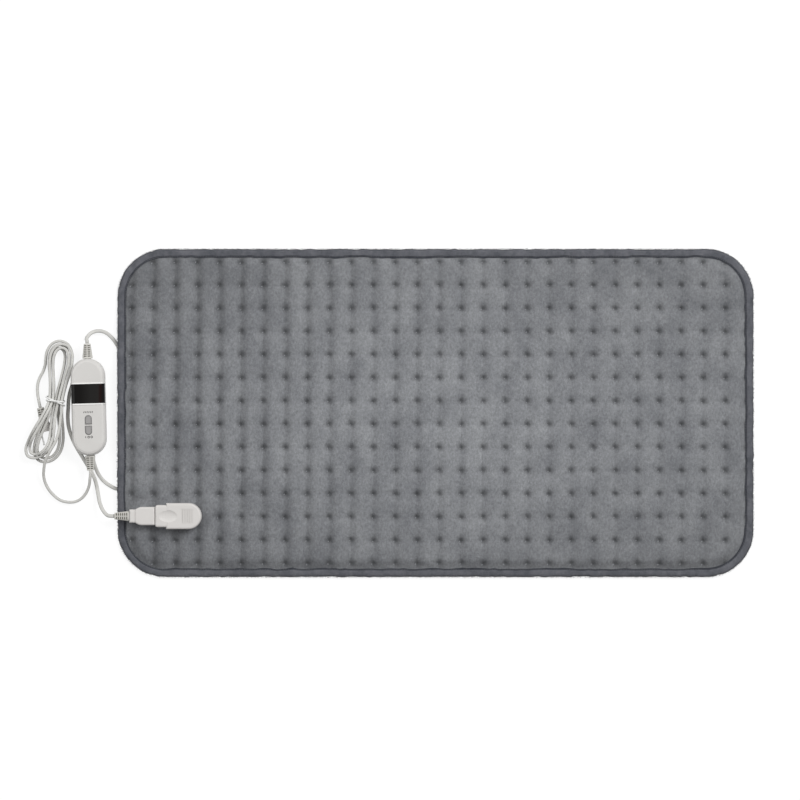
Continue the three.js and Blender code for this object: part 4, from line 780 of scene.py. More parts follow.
def plushMaterial(name, light, dark, patches, sheen, bump, tufted=False):
    material, tree, links, shader = newMaterial(name)
    patch = noiseValue(tree, links, patches, 5, (1, 0.75, 1), 0.62)
    patch = reckon(tree, links, "MULTIPLY", patch, 1 - plush["napShare"])
    nap = noiseValue(tree, links, plush["nap"], 5, roughness=0.7)
    cloudy = reckon(tree, links, "MULTIPLY_ADD", nap, plush["napShare"], patch)
    colour = rampBetween(tree, links, cloudy, srgb(*dark), srgb(*light), 0.38, 0.62)
    # a tufted cover also gets random specks and the painted shade of its tufts
    if tufted:
        specks = noiseValue(tree, links, plush["specks"], 4, (1, 0.6, 1), 0.7)
        depth = plush["speckDepth"]
        speckle = reckon(tree, links, "MULTIPLY_ADD", specks, depth, 1 - depth / 2)
        shaded = tree.new("ShaderNodeVectorMath")
        shaded.operation = "SCALE"
        links.new(colour, shaded.inputs[0])
        links.new(reckon(tree, links, "MULTIPLY", paintedTuftShade(tree, links), speckle), shaded.inputs["Scale"])
        colour = shaded.outputs["Vector"]
    links.new(colour, shader.inputs["Base Color"])
    setInputs(shader, {
        "Roughness": 0.95,
        "Specular IOR Level": 0.1,
        "Sheen Weight": sheen,
        "Sheen Roughness": 0.5,
    })
    fibres = noiseValue(tree, links, plush["fibres"], 5, roughness=0.75)
    bumpFrom(tree, links, shader, fibres, bump, plush["fibreHeight"])
    return material


cloth = {
    "colour": (120, 121, 124),
    "colourDrop": 12,  # how much darker its darkest places are
    "threads": 420,
    "thick": 1.0,
    "low": 0.12,  # height of its underside in the middle, and near the tape
    "high": 1.35,
    "highTo": 9.0,  # from the outline
    "fall": 14.0,
    "rumple": 0.12,
    "rumpleSize": 16,
    "seed": 41,
    "net": (150, 80),
}


def wovenCloth(name, colour):
    material, tree, links, shader = newMaterial(name)
    dark = [c - cloth["colourDrop"] for c in colour]
    cloudy = noiseValue(tree, links, 40, 3)
    links.new(rampBetween(tree, links, cloudy, srgb(*dark), srgb(*colour)), shader.inputs["Base Color"])
    setInputs(shader, {"Roughness": 0.9, "Sheen Weight": 0.15})
    place = tree.new("ShaderNodeTexCoord")
    threads = []
    for direction in ("X", "Y"):
        wave = tree.new("ShaderNodeTexWave")
        wave.bands_direction = direction
        wave.inputs["Scale"].default_value = cloth["threads"]
        links.new(place.outputs["Object"], wave.inputs["Vector"])
        threads.append(wave.outputs["Fac"])
    bumpFrom(tree, links, shader, reckon(tree, links, "MULTIPLY", *threads), 0.4, 0.0004)
    return material


def netSheet(xs, ys):
    # the net's cells inside the outline, with each cell's corners, and the loop of edges round them
    x, y = np.meshgrid(xs, ys, indexing="ij")
    keep = edgeDistance(x, y) >= pad["inset"] - 0.01
    cells = keep[:-1, :-1] & keep[1:, :-1] & keep[:-1, 1:] & keep[1:, 1:]
    index = np.arange(x.size).reshape(x.shape)
    corners = [index[:-1, :-1][cells], index[1:, :-1][cells], index[1:, 1:][cells], index[:-1, 1:][cells]]
    quads = np.stack(corners, -1)
    following = {}
    ringed = np.pad(cells, 1)
    sides = ((-1, 0, (0, 1), (0, 0)), (1, 0, (1, 0), (1, 1)), (0, -1, (0, 0), (1, 0)), (0, 1, (1, 1), (0, 1)))
    for shiftX, shiftY, first, second in sides:
        beyond = ringed[1 + shiftX : 1 + shiftX + cells.shape[0], 1 + shiftY : 1 + shiftY + cells.shape[1]]
        i, j = np.nonzero(cells & ~beyond)
        starts, ends = index[i + first[0], j + first[1]], index[i + second[0], j + second[1]]
        following.update(zip(starts.tolist(), ends.tolist()))
    start = next(iter(following))
    loop, at = [start], following[start]
    while at != start:
        loop.append(at)
        at = following[at]
    return x.ravel(), y.ravel(), quads, np.array(loop)


def closedSheet(name, xs, ys, highAt, lowAt, material, finely=False):
    x, y, quads, loop = netSheet(xs, ys)
    high = highAt(x, y)
    points = [np.stack([x, y, high], -1)]
    faces = quads.tolist()
    if finely:
        points.append(np.stack([x, y, lowAt(x, y)], -1))
        faces += (quads[:, ::-1] + len(x)).tolist()
        lowLoop = loop + len(x)
    else:
        points.append(np.stack([x[loop], y[loop], lowAt(x[loop], y[loop])], -1))
        lowLoop = np.arange(len(loop)) + len(x)
        faces.append(lowLoop[::-1].tolist())
    nextHigh, nextLow = np.roll(loop, -1), np.roll(lowLoop, -1)
    faces += np.stack([loop, lowLoop, nextLow, nextHigh], -1).tolist()
    points = np.concatenate(points)
    cells = [quads.ravel(), quads.ravel() + len(x)] if finely else [quads.ravel()]
    used = np.unique(np.concatenate([*cells, loop, lowLoop]))
    number = np.full(len(points), -1)
    number[used] = np.arange(len(used))
    return newPiece(name, points[used], [number[f] for f in faces], material)


def makePad():
    endX, endY = pad["length"] / 2 - pad["inset"], pad["width"] / 2 - pad["inset"]
    cover = closedSheet(
        "plush_cover",
        netLines(pad["firstColumn"], pad["columnPitch"], pad["columns"], pad["columnSteps"], endX),
        netLines(pad["firstRow"], pad["rowPitch"], pad["rows"], pad["rowSteps"], endY),
        lambda x, y: underConnector(x, y, coverHeight(x, y) + liftAt(x, y)),
        lambda x, y: pad["coverLow"] + liftAt(x, y),
        plushMaterial("plush", plush["light"], plush["dark"], plush["patches"], 0.3, 0.7, True),
    )
    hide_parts("pad_top_cover")

    def underside(x, y):
        inner = smooth((edgeDistance(x, y) - cloth["highTo"]) / cloth["fall"])
        rumple = cloth["rumple"] * valueNoise(x, y, cloth["rumpleSize"], cloth["seed"]) * inner
        return cloth["high"] * (1 - inner) + (cloth["low"] + np.abs(rumple)) * inner + liftAt(x, y)

    under = closedSheet(
        "underside_cloth",
        np.linspace(-endX, endX, cloth["net"][0]),
        np.linspace(-endY, endY, cloth["net"][1]),
        lambda x, y: underside(x, y) + cloth["thick"],
        underside,
        wovenCloth("underside_cloth", cloth["colour"]),
        True,
    )
    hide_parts("pad_bottom_cover")
    makeTacks()
    print(f"pad cover: {len(cover.data.polygons)} faces")


tack = {
    "shift": (-0.8, -0.9),  # from the tuft's middle
    "clear": 1.0,  # of the tape
    "long": 1.25,
    "wide": 0.5,
    "turn": 0.8,  # in radians, and how much it varies
    "turnSpread": 0.35,
    "seed": 3,
    "rings": ((1.0, -0.5), (1.0, 0.1), (0.6, 0.45)),  # size and height
    "sides": 8,
    "colour": (138, 140, 144),
}


def makeTacks():
    # the short cross thread that holds each tuft down
    column, row = np.meshgrid(np.arange(pad["columns"]), np.arange(pad["rows"]), indexing="ij")
    strays = tuftStrays()
    x = (pad["firstColumn"] + column * pad["columnPitch"] + strays[0]).ravel() + tack["shift"][0]
    y = (pad["firstRow"] + row * pad["rowPitch"] + strays[1]).ravel() + tack["shift"][1]
    onCover = edgeDistance(x, y) > pad["tape"] + tack["clear"]
    x, y = x[onCover], y[onCover]
    high = underConnector(x, y, coverHeight(x, y) + liftAt(x, y))
    turn = np.random.default_rng(tack["seed"]).normal(tack["turn"], tack["turnSpread"], len(x))
    points, faces, sides = [], [], tack["sides"]
    for n in range(len(x)):
        faces += closedTube(len(points), len(tack["rings"]), sides)
        for size, up in tack["rings"]:
            for side in range(sides):
                angle = 2 * math.pi * side / sides
                across, along = tack["long"] * size * math.cos(angle), tack["wide"] * size * math.sin(angle)
                points.append((
                    x[n] + across * math.cos(turn[n]) - along * math.sin(turn[n]),
                    y[n] + across * math.sin(turn[n]) + along * math.cos(turn[n]),
                    high[n] + up,
                ))
    newPiece("tuft_tacks", points, faces, threadMaterial("tuft_thread", tack["colour"], 0.6, 0.2))


def outlineStations(step):
    cornerX, cornerY = pad["length"] / 2 - pad["corner"], pad["width"] / 2 - pad["corner"]
    stations = []
    for corner in range(4):
        centreX = cornerX if corner in (0, 3) else -cornerX
        centreY = cornerY if corner < 2 else -cornerY
        count = int(pad["corner"] * math.pi / 2 / step)
        for n in range(count):
            angle = (corner + n / count) * math.pi / 2
            stations.append((centreX, centreY, math.cos(angle), math.sin(angle)))
        angle = (corner + 1) * math.pi / 2
        run = 2 * (cornerX if corner % 2 == 0 else cornerY)
        count = int(run / step)
        wayX, wayY = -math.sin(angle), math.cos(angle)
        for n in range(count):
            x, y = centreX + wayX * run * n / count, centreY + wayY * run * n / count
            stations.append((x, y, math.cos(angle), math.sin(angle)))
    return np.array(stations)


binding = {
    "colour": (107, 108, 114),
    "dark": (81, 83, 89),
    # painted shade in the seam's groove and on the outer side of the fold
    "seam": (68, 70, 76),
    "seamShadeDrop": 16,  # how much darker its darkest places are
    "patches": 60,
    "step": 1.8,
    "thick": 1.1,
    "above": 0.15,  # its top above the pad's edge
    "crown": 0.25,
    "crownWidth": 8.2,
    "drawn": 0.8,  # how deep the seam draws it down
    "drawnWidth": 1.2,
    "fold": 2.8,  # radius of its fold, seen from above
    "foldSwell": 1.02,
    "foldStart": 0.3,  # in radians from straight up, and the same from straight down
    "foldPoints": 10,
    "topPoints": (11.0, 10.6, 10.1, 9.6, 9.2, 8.7, 8.0, 7.0, 6.0, 5.0, 4.0, 3.0),  # from the outline
    "lip": 0.7,  # how far its inner edge stays below its top
    "foot": (3.2, 0.05),  # where its fold meets the table
    "hollow": (1.6, 0.5),  # how far in its inside begins, at its two layers and halfway between them
    "waves": ((2.2, 19, 25), (1.2, 7, 26)),  # of its inner edge: height, size and seed
    "wavesFrom": 7,  # from the outline
    "rough": ((0.55, 8, 21), (0.4, 3.3, 23)),  # of its plush
    "roughUp": 0.8,
    "roughOut": 2.0,
    "roughTo": 4,  # from the outline
    "fade": 3,
    "seamShadeFaces": 6,  # faces painted with the seam's shade, from the inner edge, and again over the fold
    "foldShadeFaces": (14, 18),
}

nap = {
    "step": 0.22,
    "seed": 5,
    "around": (-0.2, math.pi * 0.62),  # where fibres stand, in radians upwards from the fold's middle
    "length": (0.8, 2.8),
    "slant": 0.5,
    "rootMiddle": 2.8,  # of the fold, from the outline
    "rootAcross": 2.6,
    "rootUp": 2.5,
    "rootTurn": 0.1,
    "halfWidth": 0.22,
}

stitch = {
    "pitch": 3.4,
    "long": 2.3,
    "thick": 0.34,
    "above": 0.12,
    "sink": 0.35,  # of its ends
    "shares": (-0.5, -0.36, 0, 0.36, 0.5),  # of its length, where it has rings
    "leastSwell": 0.08,
    "sides": 6,
    "colour": (92, 94, 99),
}


def tapeTop(inset):
    # the folded tape's upper side: full over the fold, drawn down along the stitches
    crown = binding["crown"] * np.sin(np.clip(inset / binding["crownWidth"], 0, 1) * math.pi)
    drawn = binding["drawn"] * np.exp(-(((inset - pad["stitchInset"]) / binding["drawnWidth"]) ** 2))
    return pad["edge"] + binding["above"] + crown - drawn


def makeBinding():
    half, wide, thick, fold = pad["edge"] / 2, pad["tape"], binding["thick"], binding["fold"]
    top = 2 * half
    turns = np.linspace(binding["foldStart"], math.pi - binding["foldStart"], binding["foldPoints"])
    folded = [(fold - fold * math.sin(a), half + half * binding["foldSwell"] * math.cos(a)) for a in turns]
    upper = [(inset, float(tapeTop(inset))) for inset in binding["topPoints"]]
    outer = [(wide, top - binding["lip"]), *upper, *folded, binding["foot"], (wide, 0.0)]
    inside, deepest = thick + binding["hollow"][0], thick + binding["hollow"][1]
    inner = [(wide, thick), (inside, thick), (deepest, half), (inside, top - thick), (wide, top - thick)]
    inset, level = np.array(outer + inner).T[:, None, :]
    centreX, centreY, outX, outY = outlineStations(binding["step"]).T[:, :, None]
    waves = noiseLayers(binding["waves"], centreX, centreY)
    reach = pad["corner"] - inset + waves * np.clip((inset - binding["wavesFrom"]) / binding["fade"], 0, 1)
    x, y = centreX + outX * reach, centreY + outY * reach
    rough = noiseLayers(binding["rough"], x, y) * np.array([1.0] * len(outer) + [0.0] * len(inner))
    z = level + liftAt(x, y) + binding["roughUp"] * rough * (level > half)
    push = binding["roughOut"] * rough * np.clip((binding["roughTo"] - inset) / binding["fade"], 0, 1)
    count, sides = z.shape
    points = np.stack([x + outX * push, y + outY * push, z], -1).reshape(-1, 3)
    faces = np.roll(ringQuads(count, sides, True), -1, axis=1)
    plushTape = plushMaterial("plush_tape", binding["colour"], binding["dark"], binding["patches"], 0.35, 0.8)
    tape = newPiece("edge_tape", points, faces, plushTape)
    # painted shade: a darker plush on the faces along the seam's groove and over the fold's outer side
    dark = [c - binding["seamShadeDrop"] for c in binding["seam"]]
    tape.data.materials.append(plushMaterial("plush_seam_shade", binding["seam"], dark, binding["patches"], 0.2, 0.8))
    overFold = range(*binding["foldShadeFaces"])
    paintedShadeFaces = [int(n % sides < binding["seamShadeFaces"] or n % sides in overFold) for n in range(count * sides)]
    tape.data.polygons.foreach_set("material_index", paintedShadeFaces)
    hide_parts("edge_binding")

    makeNapFibres(plushTape)
    makeStitches()
    print("binding, nap and stitches")


def makeNapFibres(plushTape):
    # loose fibres of the plush that stand out round the fold
    draw = np.random.default_rng(nap["seed"])
    centreX, centreY, outX, outY = outlineStations(nap["step"]).T
    count = len(centreX)
    around = draw.uniform(*nap["around"], count)
    length = draw.uniform(*nap["length"], count)
    slant = draw.normal(0, nap["slant"], count)
    root = pad["corner"] - nap["rootMiddle"] + nap["rootAcross"] * np.cos(around - nap["rootTurn"])
    x, y = centreX + outX * root, centreY + outY * root
    z = pad["edge"] / 2 + nap["rootUp"] * np.sin(around) + liftAt(x, y)
    wayX = outX * np.cos(around) - outY * slant
    wayY = outY * np.cos(around) + outX * slant
    half = nap["halfWidth"]
    left = np.stack([x + outY * half, y - outX * half, z], -1)
    right = np.stack([x - outY * half, y + outX * half, z], -1)
    tip = np.stack([x + wayX * length, y + wayY * length, z + np.sin(around) * length], -1)
    points = np.stack([left, right, tip], 1).reshape(-1, 3)
    newPiece("tape_nap", points, np.arange(3 * count).reshape(-1, 3), plushTape)


def makeStitches():
    # a line of short stitches through the tape's inner edge
    points, faces, sides = [], [], stitch["sides"]
    inset, up = pad["stitchInset"], np.array([0, 0, 1.0])
    reach = pad["corner"] - inset
    for x, y, outX, outY in outlineStations(stitch["pitch"]):
        along, out = np.array([-outY, outX, 0]), np.array([outX, outY, 0])
        middle = np.array([x + outX * reach, y + outY * reach, 0.0])
        middle[2] = float(tapeTop(inset)) + float(liftAt(middle[0], middle[1])) + stitch["above"]
        faces += closedTube(len(points), len(stitch["shares"]), sides)
        for share in stitch["shares"]:
            swell = math.sqrt(max(stitch["leastSwell"], 1 - (2 * share) ** 4)) * stitch["thick"]
            centre = middle + along * share * stitch["long"] - up * stitch["sink"] * (2 * share) ** 2
            for side in range(sides):
                angle = 2 * math.pi * side / sides
                points.append(centre + out * math.cos(angle) * swell + up * math.sin(angle) * swell)
    thread = threadMaterial("sewing_thread", stitch["colour"], 0.7, 0.3)
    newPiece("tape_stitches", points, faces, thread)


makePad()
makeBinding()


# Tie round the hank's waist: a plastic-covered wire, wound twice, whose turns cross on top

tie = {
    "left": -511.9,
    "right": -489.1,
    "low": 2.9,
    "high": 17.1,
    "corner": 4.2,
    "thick": 2.2,
    "reach": 3.6,  # how far the two turns lie apart below
    "slant": 0.28,
    "crossing": 1.2,  # how far one turn passes over the other
    "crossingLength": 0.06,  # in turns
    "under": 0.2,  # share of it by which the other goes down
    "steps": 150,
    "sides": 10,
    "colour": (232, 232, 230),
}


def ringPoint(share):
    # a place on the rounded rectangle round the waist, from the middle of its top, clockwise
    halfX, halfZ = (tie["right"] - tie["left"]) / 2, (tie["high"] - tie["low"]) / 2
    flatX, flatZ, bend = halfX - tie["corner"], halfZ - tie["corner"], tie["corner"] * math.pi / 2
    runs = [flatX, bend, 2 * flatZ, bend, 2 * flatX, bend, 2 * flatZ, bend, flatX]
    walked = (share % 1.0) * sum(runs)
    number = 0
    while walked > runs[number]:
        walked -= runs[number]
        number += 1
    quarter = (number // 2) * math.pi / 2  # turned from the top
    if number % 2:
        angle = quarter + walked / tie["corner"]
        signX, signZ = (1 if number in (1, 3) else -1), (1 if number in (1, 7) else -1)
        return signX * flatX + tie["corner"] * math.sin(angle), signZ * flatZ + tie["corner"] * math.cos(angle)
    starts = {0: (0, halfZ), 2: (halfX, flatZ), 4: (flatX, -halfZ), 6: (-halfX, -flatZ), 8: (-flatX, halfZ)}
    startX, startZ = starts[number]
    return startX + walked * math.cos(quarter), startZ - walked * math.sin(quarter)


def makeTie(material):
    middleX, middleZ = (tie["left"] + tie["right"]) / 2, (tie["low"] + tie["high"]) / 2
    centre = []
    for n in range(tie["steps"]):
        turns = 2 * n / tie["steps"]
        x, z = ringPoint(turns)
        y = hank["y"] + tie["reach"] * math.sin(math.pi * turns) - tie["slant"] * x
        over = math.exp(-(((turns + 1) % 2 - 1) / tie["crossingLength"]) ** 2)
        under = math.exp(-((turns % 2 - 1) / tie["crossingLength"]) ** 2)
        centre.append((middleX + x, y, middleZ + z + tie["crossing"] * (over - tie["under"] * under)))
    centre = np.array(centre)
    ways = np.roll(centre, -1, axis=0) - np.roll(centre, 1, axis=0)
    angles = np.linspace(0, 2 * math.pi, tie["sides"], endpoint=False)
    half = tie["thick"] / 2
    rings = ringsAlong(centre, ways, [0, 1.0, 0], half * np.cos(angles), half * np.sin(angles))
    faces = ringQuads(tie["steps"], tie["sides"], True)
    piece = newPiece("twist_tie", rings.reshape(-1, 3), faces, material)
    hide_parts("hank_tie")
    return piece


# Finishes of the pieces that keep their shape


def displayGlass(name):
    # dark, as a display that is switched off, with faint upright bands across it: a lighter grey one of painted
    # reflection and a reddish one
    material, tree, links, shader = newMaterial(name)
    low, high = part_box("display_window")
    across = tree.new("ShaderNodeMapRange")
    setInputs(across, {"From Min": low[0], "From Max": high[0]})
    links.new(objectAxes(tree, links)[0], across.inputs["Value"])
    bands = tree.new("ShaderNodeValToRGB")
    stops = ((0.0, (8, 7, 6)), (0.3, (14, 12, 11)), (0.58, (30, 29, 28)), (0.8, (32, 30, 29)), (0.86, (28, 11, 9)),
             (0.9, (22, 10, 8)), (0.94, (12, 9, 8)), (1.0, (9, 8, 7)))
    while len(bands.color_ramp.elements) < len(stops):
        bands.color_ramp.elements.new(0.5)
    for element, (position, colour) in zip(bands.color_ramp.elements, stops):
        element.position, element.color = position, srgb(*colour)
    links.new(across.outputs["Result"], bands.inputs["Fac"])
    links.new(bands.outputs["Color"], shader.inputs["Base Color"])
    setInputs(shader, {"Roughness": 0.16, "Specular IOR Level": 0.1})
    return material


def metal(name, colour, roughness, drop=18):
    material, tree, links, shader = newMaterial(name)
    scratch = noiseValue(tree, links, 500, 4, (1, 12, 1))
    dark = [c - drop for c in colour]
    links.new(rampBetween(tree, links, scratch, srgb(*dark), srgb(*colour)), shader.inputs["Base Color"])
    setInputs(shader, {"Metallic": 1.0, "Roughness": roughness})
    bumpFrom(tree, links, shader, scratch, 0.05, 0.0001)
    return material


# for plastic: colour, roughness, and the scale and depth of its grain
finishes = {
    "socket": mouldedPlastic("connector_plastic", (212, 209, 206), 0.38, 1500, 0.08),
    "controller": mouldedPlastic("controller_plastic", (207, 205, 202), 0.42, 1800, 0.16),
    "window": displayGlass("display_plastic"),
    "button": mouldedPlastic("button_rubber", (152, 150, 149), 0.55, 1800, 0.14),
    "relief": mouldedPlastic("relief_rubber", (200, 198, 192), 0.6, 1500, 0.14),
    "tie": mouldedPlastic("twist_tie", tie["colour"], 0.4, 900, 0.1),
    "board": mouldedPlastic("circuit_board", (40, 92, 58), 0.5, 700, 0.05),
    "component": mouldedPlastic("component_black", (48, 48, 50), 0.5, 900, 0.1),
    "felt": wovenCloth("felt_carrier", (210, 208, 200)),
    "wire": mouldedPlastic("wire_jacket", (206, 200, 186), 0.5, 900, 0.05),
    "blade": metal("plated_brass", (198, 198, 196), 0.3),
    "screw": metal("zinc_steel", (190, 192, 194), 0.35),
}

# the finish of each piece, by the longest of these that its name starts with
madeOf = {
    "socket": ("socket", "plug", "mains_plug"),
    "controller": ("controller",),
    "window": ("display_window",),
    "button": ("heat_button", "power_button"),
    "relief": ("plug_strain", "mains_plug_strain", "upper_strain", "lower_strain"),
    "tie": ("hank_tie",),
    "board": ("circuit",),
    "component": ("display_module", "heat_switch", "power_switch", "power_relay", "fuse", "thermal"),
    "felt": ("heater_carrier",),
    "wire": ("heating_wire",),
    "blade": ("socket_contact", "plug_pin", "mains_blade"),
    "screw": ("controller_screw",),
}


def finishFor(name):
    fitting = [(len(start), kind) for kind, starts in madeOf.items() for start in starts if name.startswith(start)]
    return finishes[max(fitting)[1]] if fitting else None


for name, node in nodes.items():
    finish = finishFor(name)
    if finish is None:
        continue
    if node.data.materials:
        for n in range(len(node.data.materials)):
            node.data.materials[n] = finish
    else:
        node.data.materials.append(finish)
tiePiece = makeTie(finishes["tie"])


# Soft edges and smooth curves on the pieces that keep their shape


def smoothByAngle(limit):
    group = bpy.data.node_groups.new("smooth_by_angle", "GeometryNodeTree")
    group.interface.new_socket("Geometry", in_out="INPUT", socket_type="NodeSocketGeometry")
    group.interface.new_socket("Geometry", in_out="OUTPUT", socket_type="NodeSocketGeometry")
    tree, links = group.nodes, group.links
    start, end = tree.new("NodeGroupInput"), tree.new("NodeGroupOutput")
    curved = tree.new("GeometryNodeSetShadeSmooth")
    sharp = tree.new("GeometryNodeSetShadeSmooth")
    sharp.domain = "EDGE"
    sharp.inputs["Shade Smooth"].default_value = False
    angle = tree.new("GeometryNodeInputMeshEdgeAngle")
    wide = tree.new("FunctionNodeCompare")
    wide.data_type, wide.operation = "FLOAT", "GREATER_THAN"
    wide.inputs[1].default_value = limit
    links.new(angle.outputs["Unsigned Angle"], wide.inputs[0])
    links.new(wide.outputs["Result"], sharp.inputs["Selection"])
    links.new(start.outputs[0], curved.inputs["Geometry"])
    links.new(curved.outputs["Geometry"], sharp.inputs["Geometry"])
    links.new(sharp.outputs["Geometry"], end.inputs[0])
    return group


softEdges = {
    "controller": 0.5,  # width of the rounded edge on each kind of piece
    "connector": 0.22,
    "button": 0.35,
    "small": 0.15,
    "segments": 2,
    "sharperThan": 40,  # degrees, for an edge that is rounded
    "creasedFrom": 34,  # degrees, for an edge that still shows as one
    "leftAlone": ("hank_tie", "heating_wire", "heater_carrier"),
}


def edgeKind(name):
    if name.endswith("_button"):
        return "button"
    if "shell" in name:
        return "controller" if name.startswith("controller") else "connector"
    return "small"


def softenEdges():
    group = smoothByAngle(math.radians(softEdges["creasedFrom"]))
    for name, node in nodes.items():
        if finishFor(name) is None or name in softEdges["leftAlone"]:
            continue
        bevel = node.modifiers.new("soft_edges", "BEVEL")
        bevel.width, bevel.segments = softEdges[edgeKind(name)] * mm, softEdges["segments"]
        bevel.limit_method, bevel.angle_limit = "ANGLE", math.radians(softEdges["sharperThan"])
        bevel.use_clamp_overlap = True
        shading = node.modifiers.new("smooth_by_angle", "NODES")
        shading.node_group = group
        even = node.modifiers.new("even_normals", "WEIGHTED_NORMAL")
        even.keep_sharp = True


softenEdges()
print("finishes")


# Details of the moulded pieces: painted shade in the sleeves' slots, painted highlights by the window, painted
# shade round and on the keys, printed marks

face = {
    "above": 0.04,  # of a strip over what it lies on
    "ridgeMiddle": 17.6,
    "ridgeAway": 13.7,
    "ridgeWidth": 1.5,
    "ridgeReach": 20.6,
    "ridgePoints": 43,
    # painted highlight on the ridges by the window
    "ridgeHighlight": (244, 243, 241),
    # painted shade in the gap round each key and on its rounded edge
    "rimShadeColour": (126, 125, 124),
    "rim": 0.4,
    "rimGap": 0.3,
    "keyRim": 0.5,
    "keyRimIn": 0.75,
    "keyWidth": 8.0,
    "keyLength": 11.0,
    "keyBar": 2.8,
    "keyMiddle": -23.6,
    "keyProud": 0.7,
    "ink": (72, 70, 68),
    "stroke": 0.85,
    "waves": 6,
    "wavePitch": 2.2,
    "waveHeight": 2.2,
    "waveSway": 0.35,
    "waveAway": 4.6,  # from the upper key
    "signAway": 3.3,  # from the lower key
    "sign": 1.3,
    "signPitch": 3.9,
    "signOpen": (125, 415),  # degrees, from one end of the open ring to the other
    "signBar": (0.1, 0.8, 1.6),  # of the stroke in its gap, upwards
    "signNarrow": 0.8,  # width of the closed ring for its height
}


def slotShades(name, length, rows, root, placed, body):
    # painted shade: thin dark plates a little below the surface, in every slot of one sleeve
    collar, long = sleeve["collar"], sleeve["slotLength"] / 2 - sleeve["shadeSpare"]
    pitch = (length - collar) / (rows + 0.5)
    points, faces = [], []
    for row in range(rows):
        y = collar + (row + 0.5) * pitch
        share = (y - collar) / (length - collar)
        high = (root[1] + (sleeve["thin"][1] - root[1]) * share) / 2 - sleeve["shadeDepth"]
        width = sleeve["slotWidth"] + (root[0] - sleeve["thin"][0]) / 2 * (1 - share) / 2
        wide = width / 2 - sleeve["shadeSpare"]
        for side in (-1, 1):
            x = side * (sleeve["slotSpacing"] + width) / 2
            for up in (-1, 1):
                first = len(points)
                for z in (high - sleeve["shadeThick"], high):
                    for across, along in ((-1, -1), (1, -1), (1, 1), (-1, 1)):
                        points.append(placed(x + across * wide, y + along * long, up * z))
                corners = ((3, 2, 1, 0), (4, 5, 6, 7), (0, 1, 5, 4), (1, 2, 6, 5), (2, 3, 7, 6), (3, 0, 4, 7))
                faces += [tuple(first + c for c in corner) for corner in corners]
    newPiece(name, points, faces, finishes["shade"], body, shade=False)


def makeSlotShades():
    finishes["shade"] = mouldedPlastic("slot_shade", sleeve["shade"], 0.9, 900, 0.05)
    out = controllerAt["length"] / 2 + sleeve["gap"]
    middle = controllerAt["height"] / 2 - sleeve["drop"]
    plugBack = connectorAt["x"] - connectorAt["body"] - connectorAt["neck"] - sleeve["gap"]
    turn = math.radians(mainsPlug["heading"])

    def onUpper(x, y, z):
        return onController(x, out + y, middle + z)

    def onLower(x, y, z):
        return onController(-x, -out - y, middle + z)

    def onPlug(x, y, z):
        return plugBack - y, connectorAt["y"] + x, connectorAt["rest"] + connectorAt["middle"] + z

    def onMainsPlug(x, y, z):
        along = sleeve["mainsLength"] - y
        return (
            mainsPlug["x"] + along * math.sin(turn) + x * math.cos(turn),
            mainsPlug["y"] - along * math.cos(turn) + x * math.sin(turn),
            lead["tableGap"] + mainsPlug["thickness"] / 2 + z,
        )

    long = sleeve["length"], sleeve["rows"], sleeve["root"]
    short = sleeve["mainsLength"], sleeve["mainsRows"], sleeve["mainsRoot"]
    slotShades("upper_sleeve_shade", *long, onUpper, padBody)
    slotShades("lower_sleeve_shade", *long, onLower, padBody)
    slotShades("plug_sleeve_shade", *long, onPlug, plugBody)
    slotShades("mains_sleeve_shade", *short, onMainsPlug, padBody)


def surfaceUnder(name):
    mesh = nodes[name].data
    tree = BVHTree.FromPolygons([v.co for v in mesh.vertices], [tuple(p.vertices) for p in mesh.polygons])

    def height(x, y):
        return tree.ray_cast(Vector((x * mm, y * mm, 1.0)), Vector((0, 0, -1)))[0].z / mm

    return height


def layRibbons(name, paths, width, heightAt, material, body=padBody):
    # flat strips along paths on the controller's face, drawn from its own middle
    points, faces = [], []
    for path in paths:
        path = np.array(path, float)
        ways = np.gradient(path, axis=0)
        ways /= np.linalg.norm(ways, axis=1)[:, None]
        side = np.stack([-ways[:, 1], ways[:, 0]], -1) * width / 2
        first = len(points)
        for n in range(len(path)):
            for sign in (1, -1):
                x, y, _ = onController(*(path[n] + sign * side[n]), 0)
                points.append((x, y, heightAt(x, y) + face["above"]))
        for a in range(first, len(points) - 2, 2):
            faces.append((a, a + 1, a + 3, a + 2))
    newPiece(name, points, faces, material, body, shade=False)


def keyOutline(sign, grow):
    # one key's outline, from the middle of its flat end round to the same place
    half, length = face["keyWidth"] / 2, face["keyLength"]
    middle = face["keyMiddle"] + sign * (face["keyBar"] + length) / 2
    flat, spring = -length / 2 - grow, length / 2 - half
    wide = half + grow
    path = [(x, flat) for x in np.linspace(0, wide, 8)]
    path += [(wide, y) for y in np.linspace(flat, spring, 14)[1:]]
    path += [(wide * math.cos(a), spring + wide * math.sin(a)) for a in np.linspace(0, math.pi, 30)[1:]]
    path += [(-wide, y) for y in np.linspace(spring, flat, 14)[1:]]
    path += [(x, flat) for x in np.linspace(-wide, 0, 8)[1:]]
    return [(x, middle + sign * y) for x, y in path]


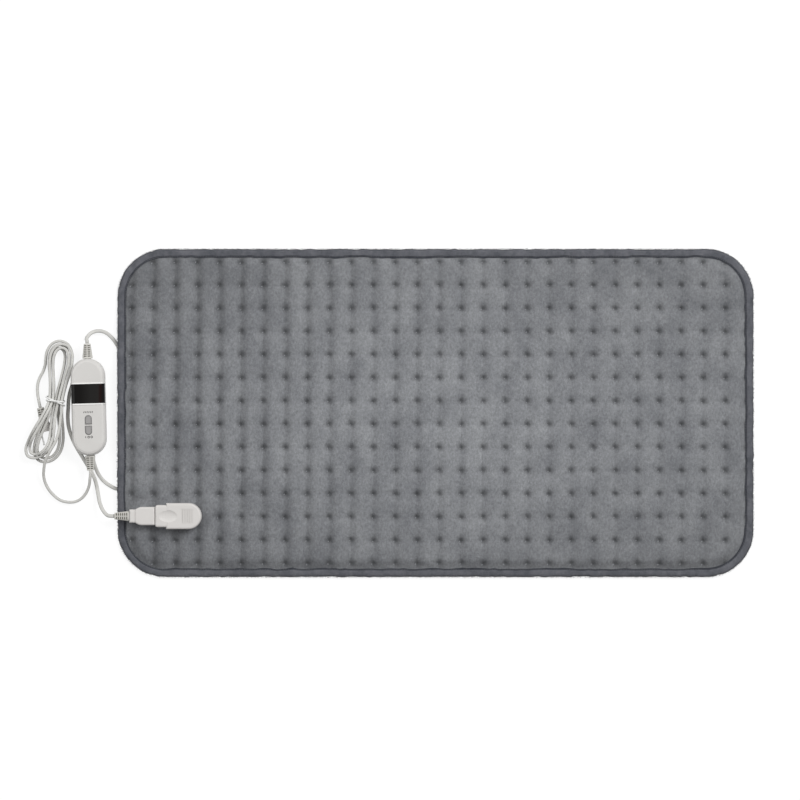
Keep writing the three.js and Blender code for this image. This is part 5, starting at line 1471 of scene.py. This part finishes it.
def makeFaceDetails():
    onFace = surfaceUnder("controller_front_shell")
    top = controllerAt["rest"] + controllerAt["height"]
    # painted highlight: light strips where the shell's edges above and below the window catch the light
    light = mouldedPlastic("ridge_highlight", face["ridgeHighlight"], 0.35, 1500, 0.05)
    across = np.linspace(-face["ridgeReach"], face["ridgeReach"], face["ridgePoints"])
    ridges = [[(x, face["ridgeMiddle"] + sign * face["ridgeAway"]) for x in across] for sign in (-1, 1)]
    layRibbons("window_ridge_highlights", ridges, face["ridgeWidth"], onFace, light)

    # painted shade: a dark line in the gap round each key and another on each key's rounded edge
    rimShade = mouldedPlastic("key_rim_shade", face["rimShadeColour"], 0.6, 900, 0.05)
    outlines = [keyOutline(sign, face["rimGap"] + face["rim"] / 2) for sign in (-1, 1)]
    layRibbons("key_gap_shade", outlines, face["rim"], lambda x, y: top, rimShade)
    keyTop = top + face["keyProud"]
    for sign, key in ((1, "heat_key"), (-1, "power_key")):
        outline = keyOutline(sign, -face["keyRimIn"])
        layRibbons(key + "_rim", [outline], face["keyRim"], lambda x, y: keyTop, rimShade, key)

    # heat waves above the upper key, and the signs for on, switch and off below the lower one
    ink = mouldedPlastic("printed_marks", face["ink"], 0.6, 900, 0.05)
    heatY = face["keyMiddle"] + face["keyBar"] / 2 + face["keyLength"] + face["waveAway"]
    signY = face["keyMiddle"] - face["keyBar"] / 2 - face["keyLength"] - face["signAway"]
    marks = []
    for wave in range(face["waves"]):
        x = (wave - (face["waves"] - 1) / 2) * face["wavePitch"]
        rise = np.linspace(-0.5, 0.5, 13)
        sway = face["waveSway"] * np.sin(2 * math.pi * rise)
        marks.append(np.stack([x + sway, heatY + rise * face["waveHeight"]], -1))
    size, pitch = face["sign"], face["signPitch"]
    opened, closed = np.radians(np.linspace(*face["signOpen"], 25)), np.radians(np.linspace(0, 360, 29))
    marks.append([(size * math.cos(a), signY + size * math.sin(a)) for a in opened])
    marks.append([(0, signY + up) for up in face["signBar"]])
    marks.append([(-pitch, signY + up * size) for up in (-1, 0, 1)])
    marks.append([(pitch + face["signNarrow"] * size * math.cos(a), signY + size * math.sin(a)) for a in closed])
    layRibbons("printed_marks", marks, face["stroke"], onFace, ink)


makeSlotShades()
makeFaceDetails()
print("slots, ridges, rims and printed marks")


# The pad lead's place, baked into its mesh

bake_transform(padLeadPiece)

print("heating pad: scene complete")
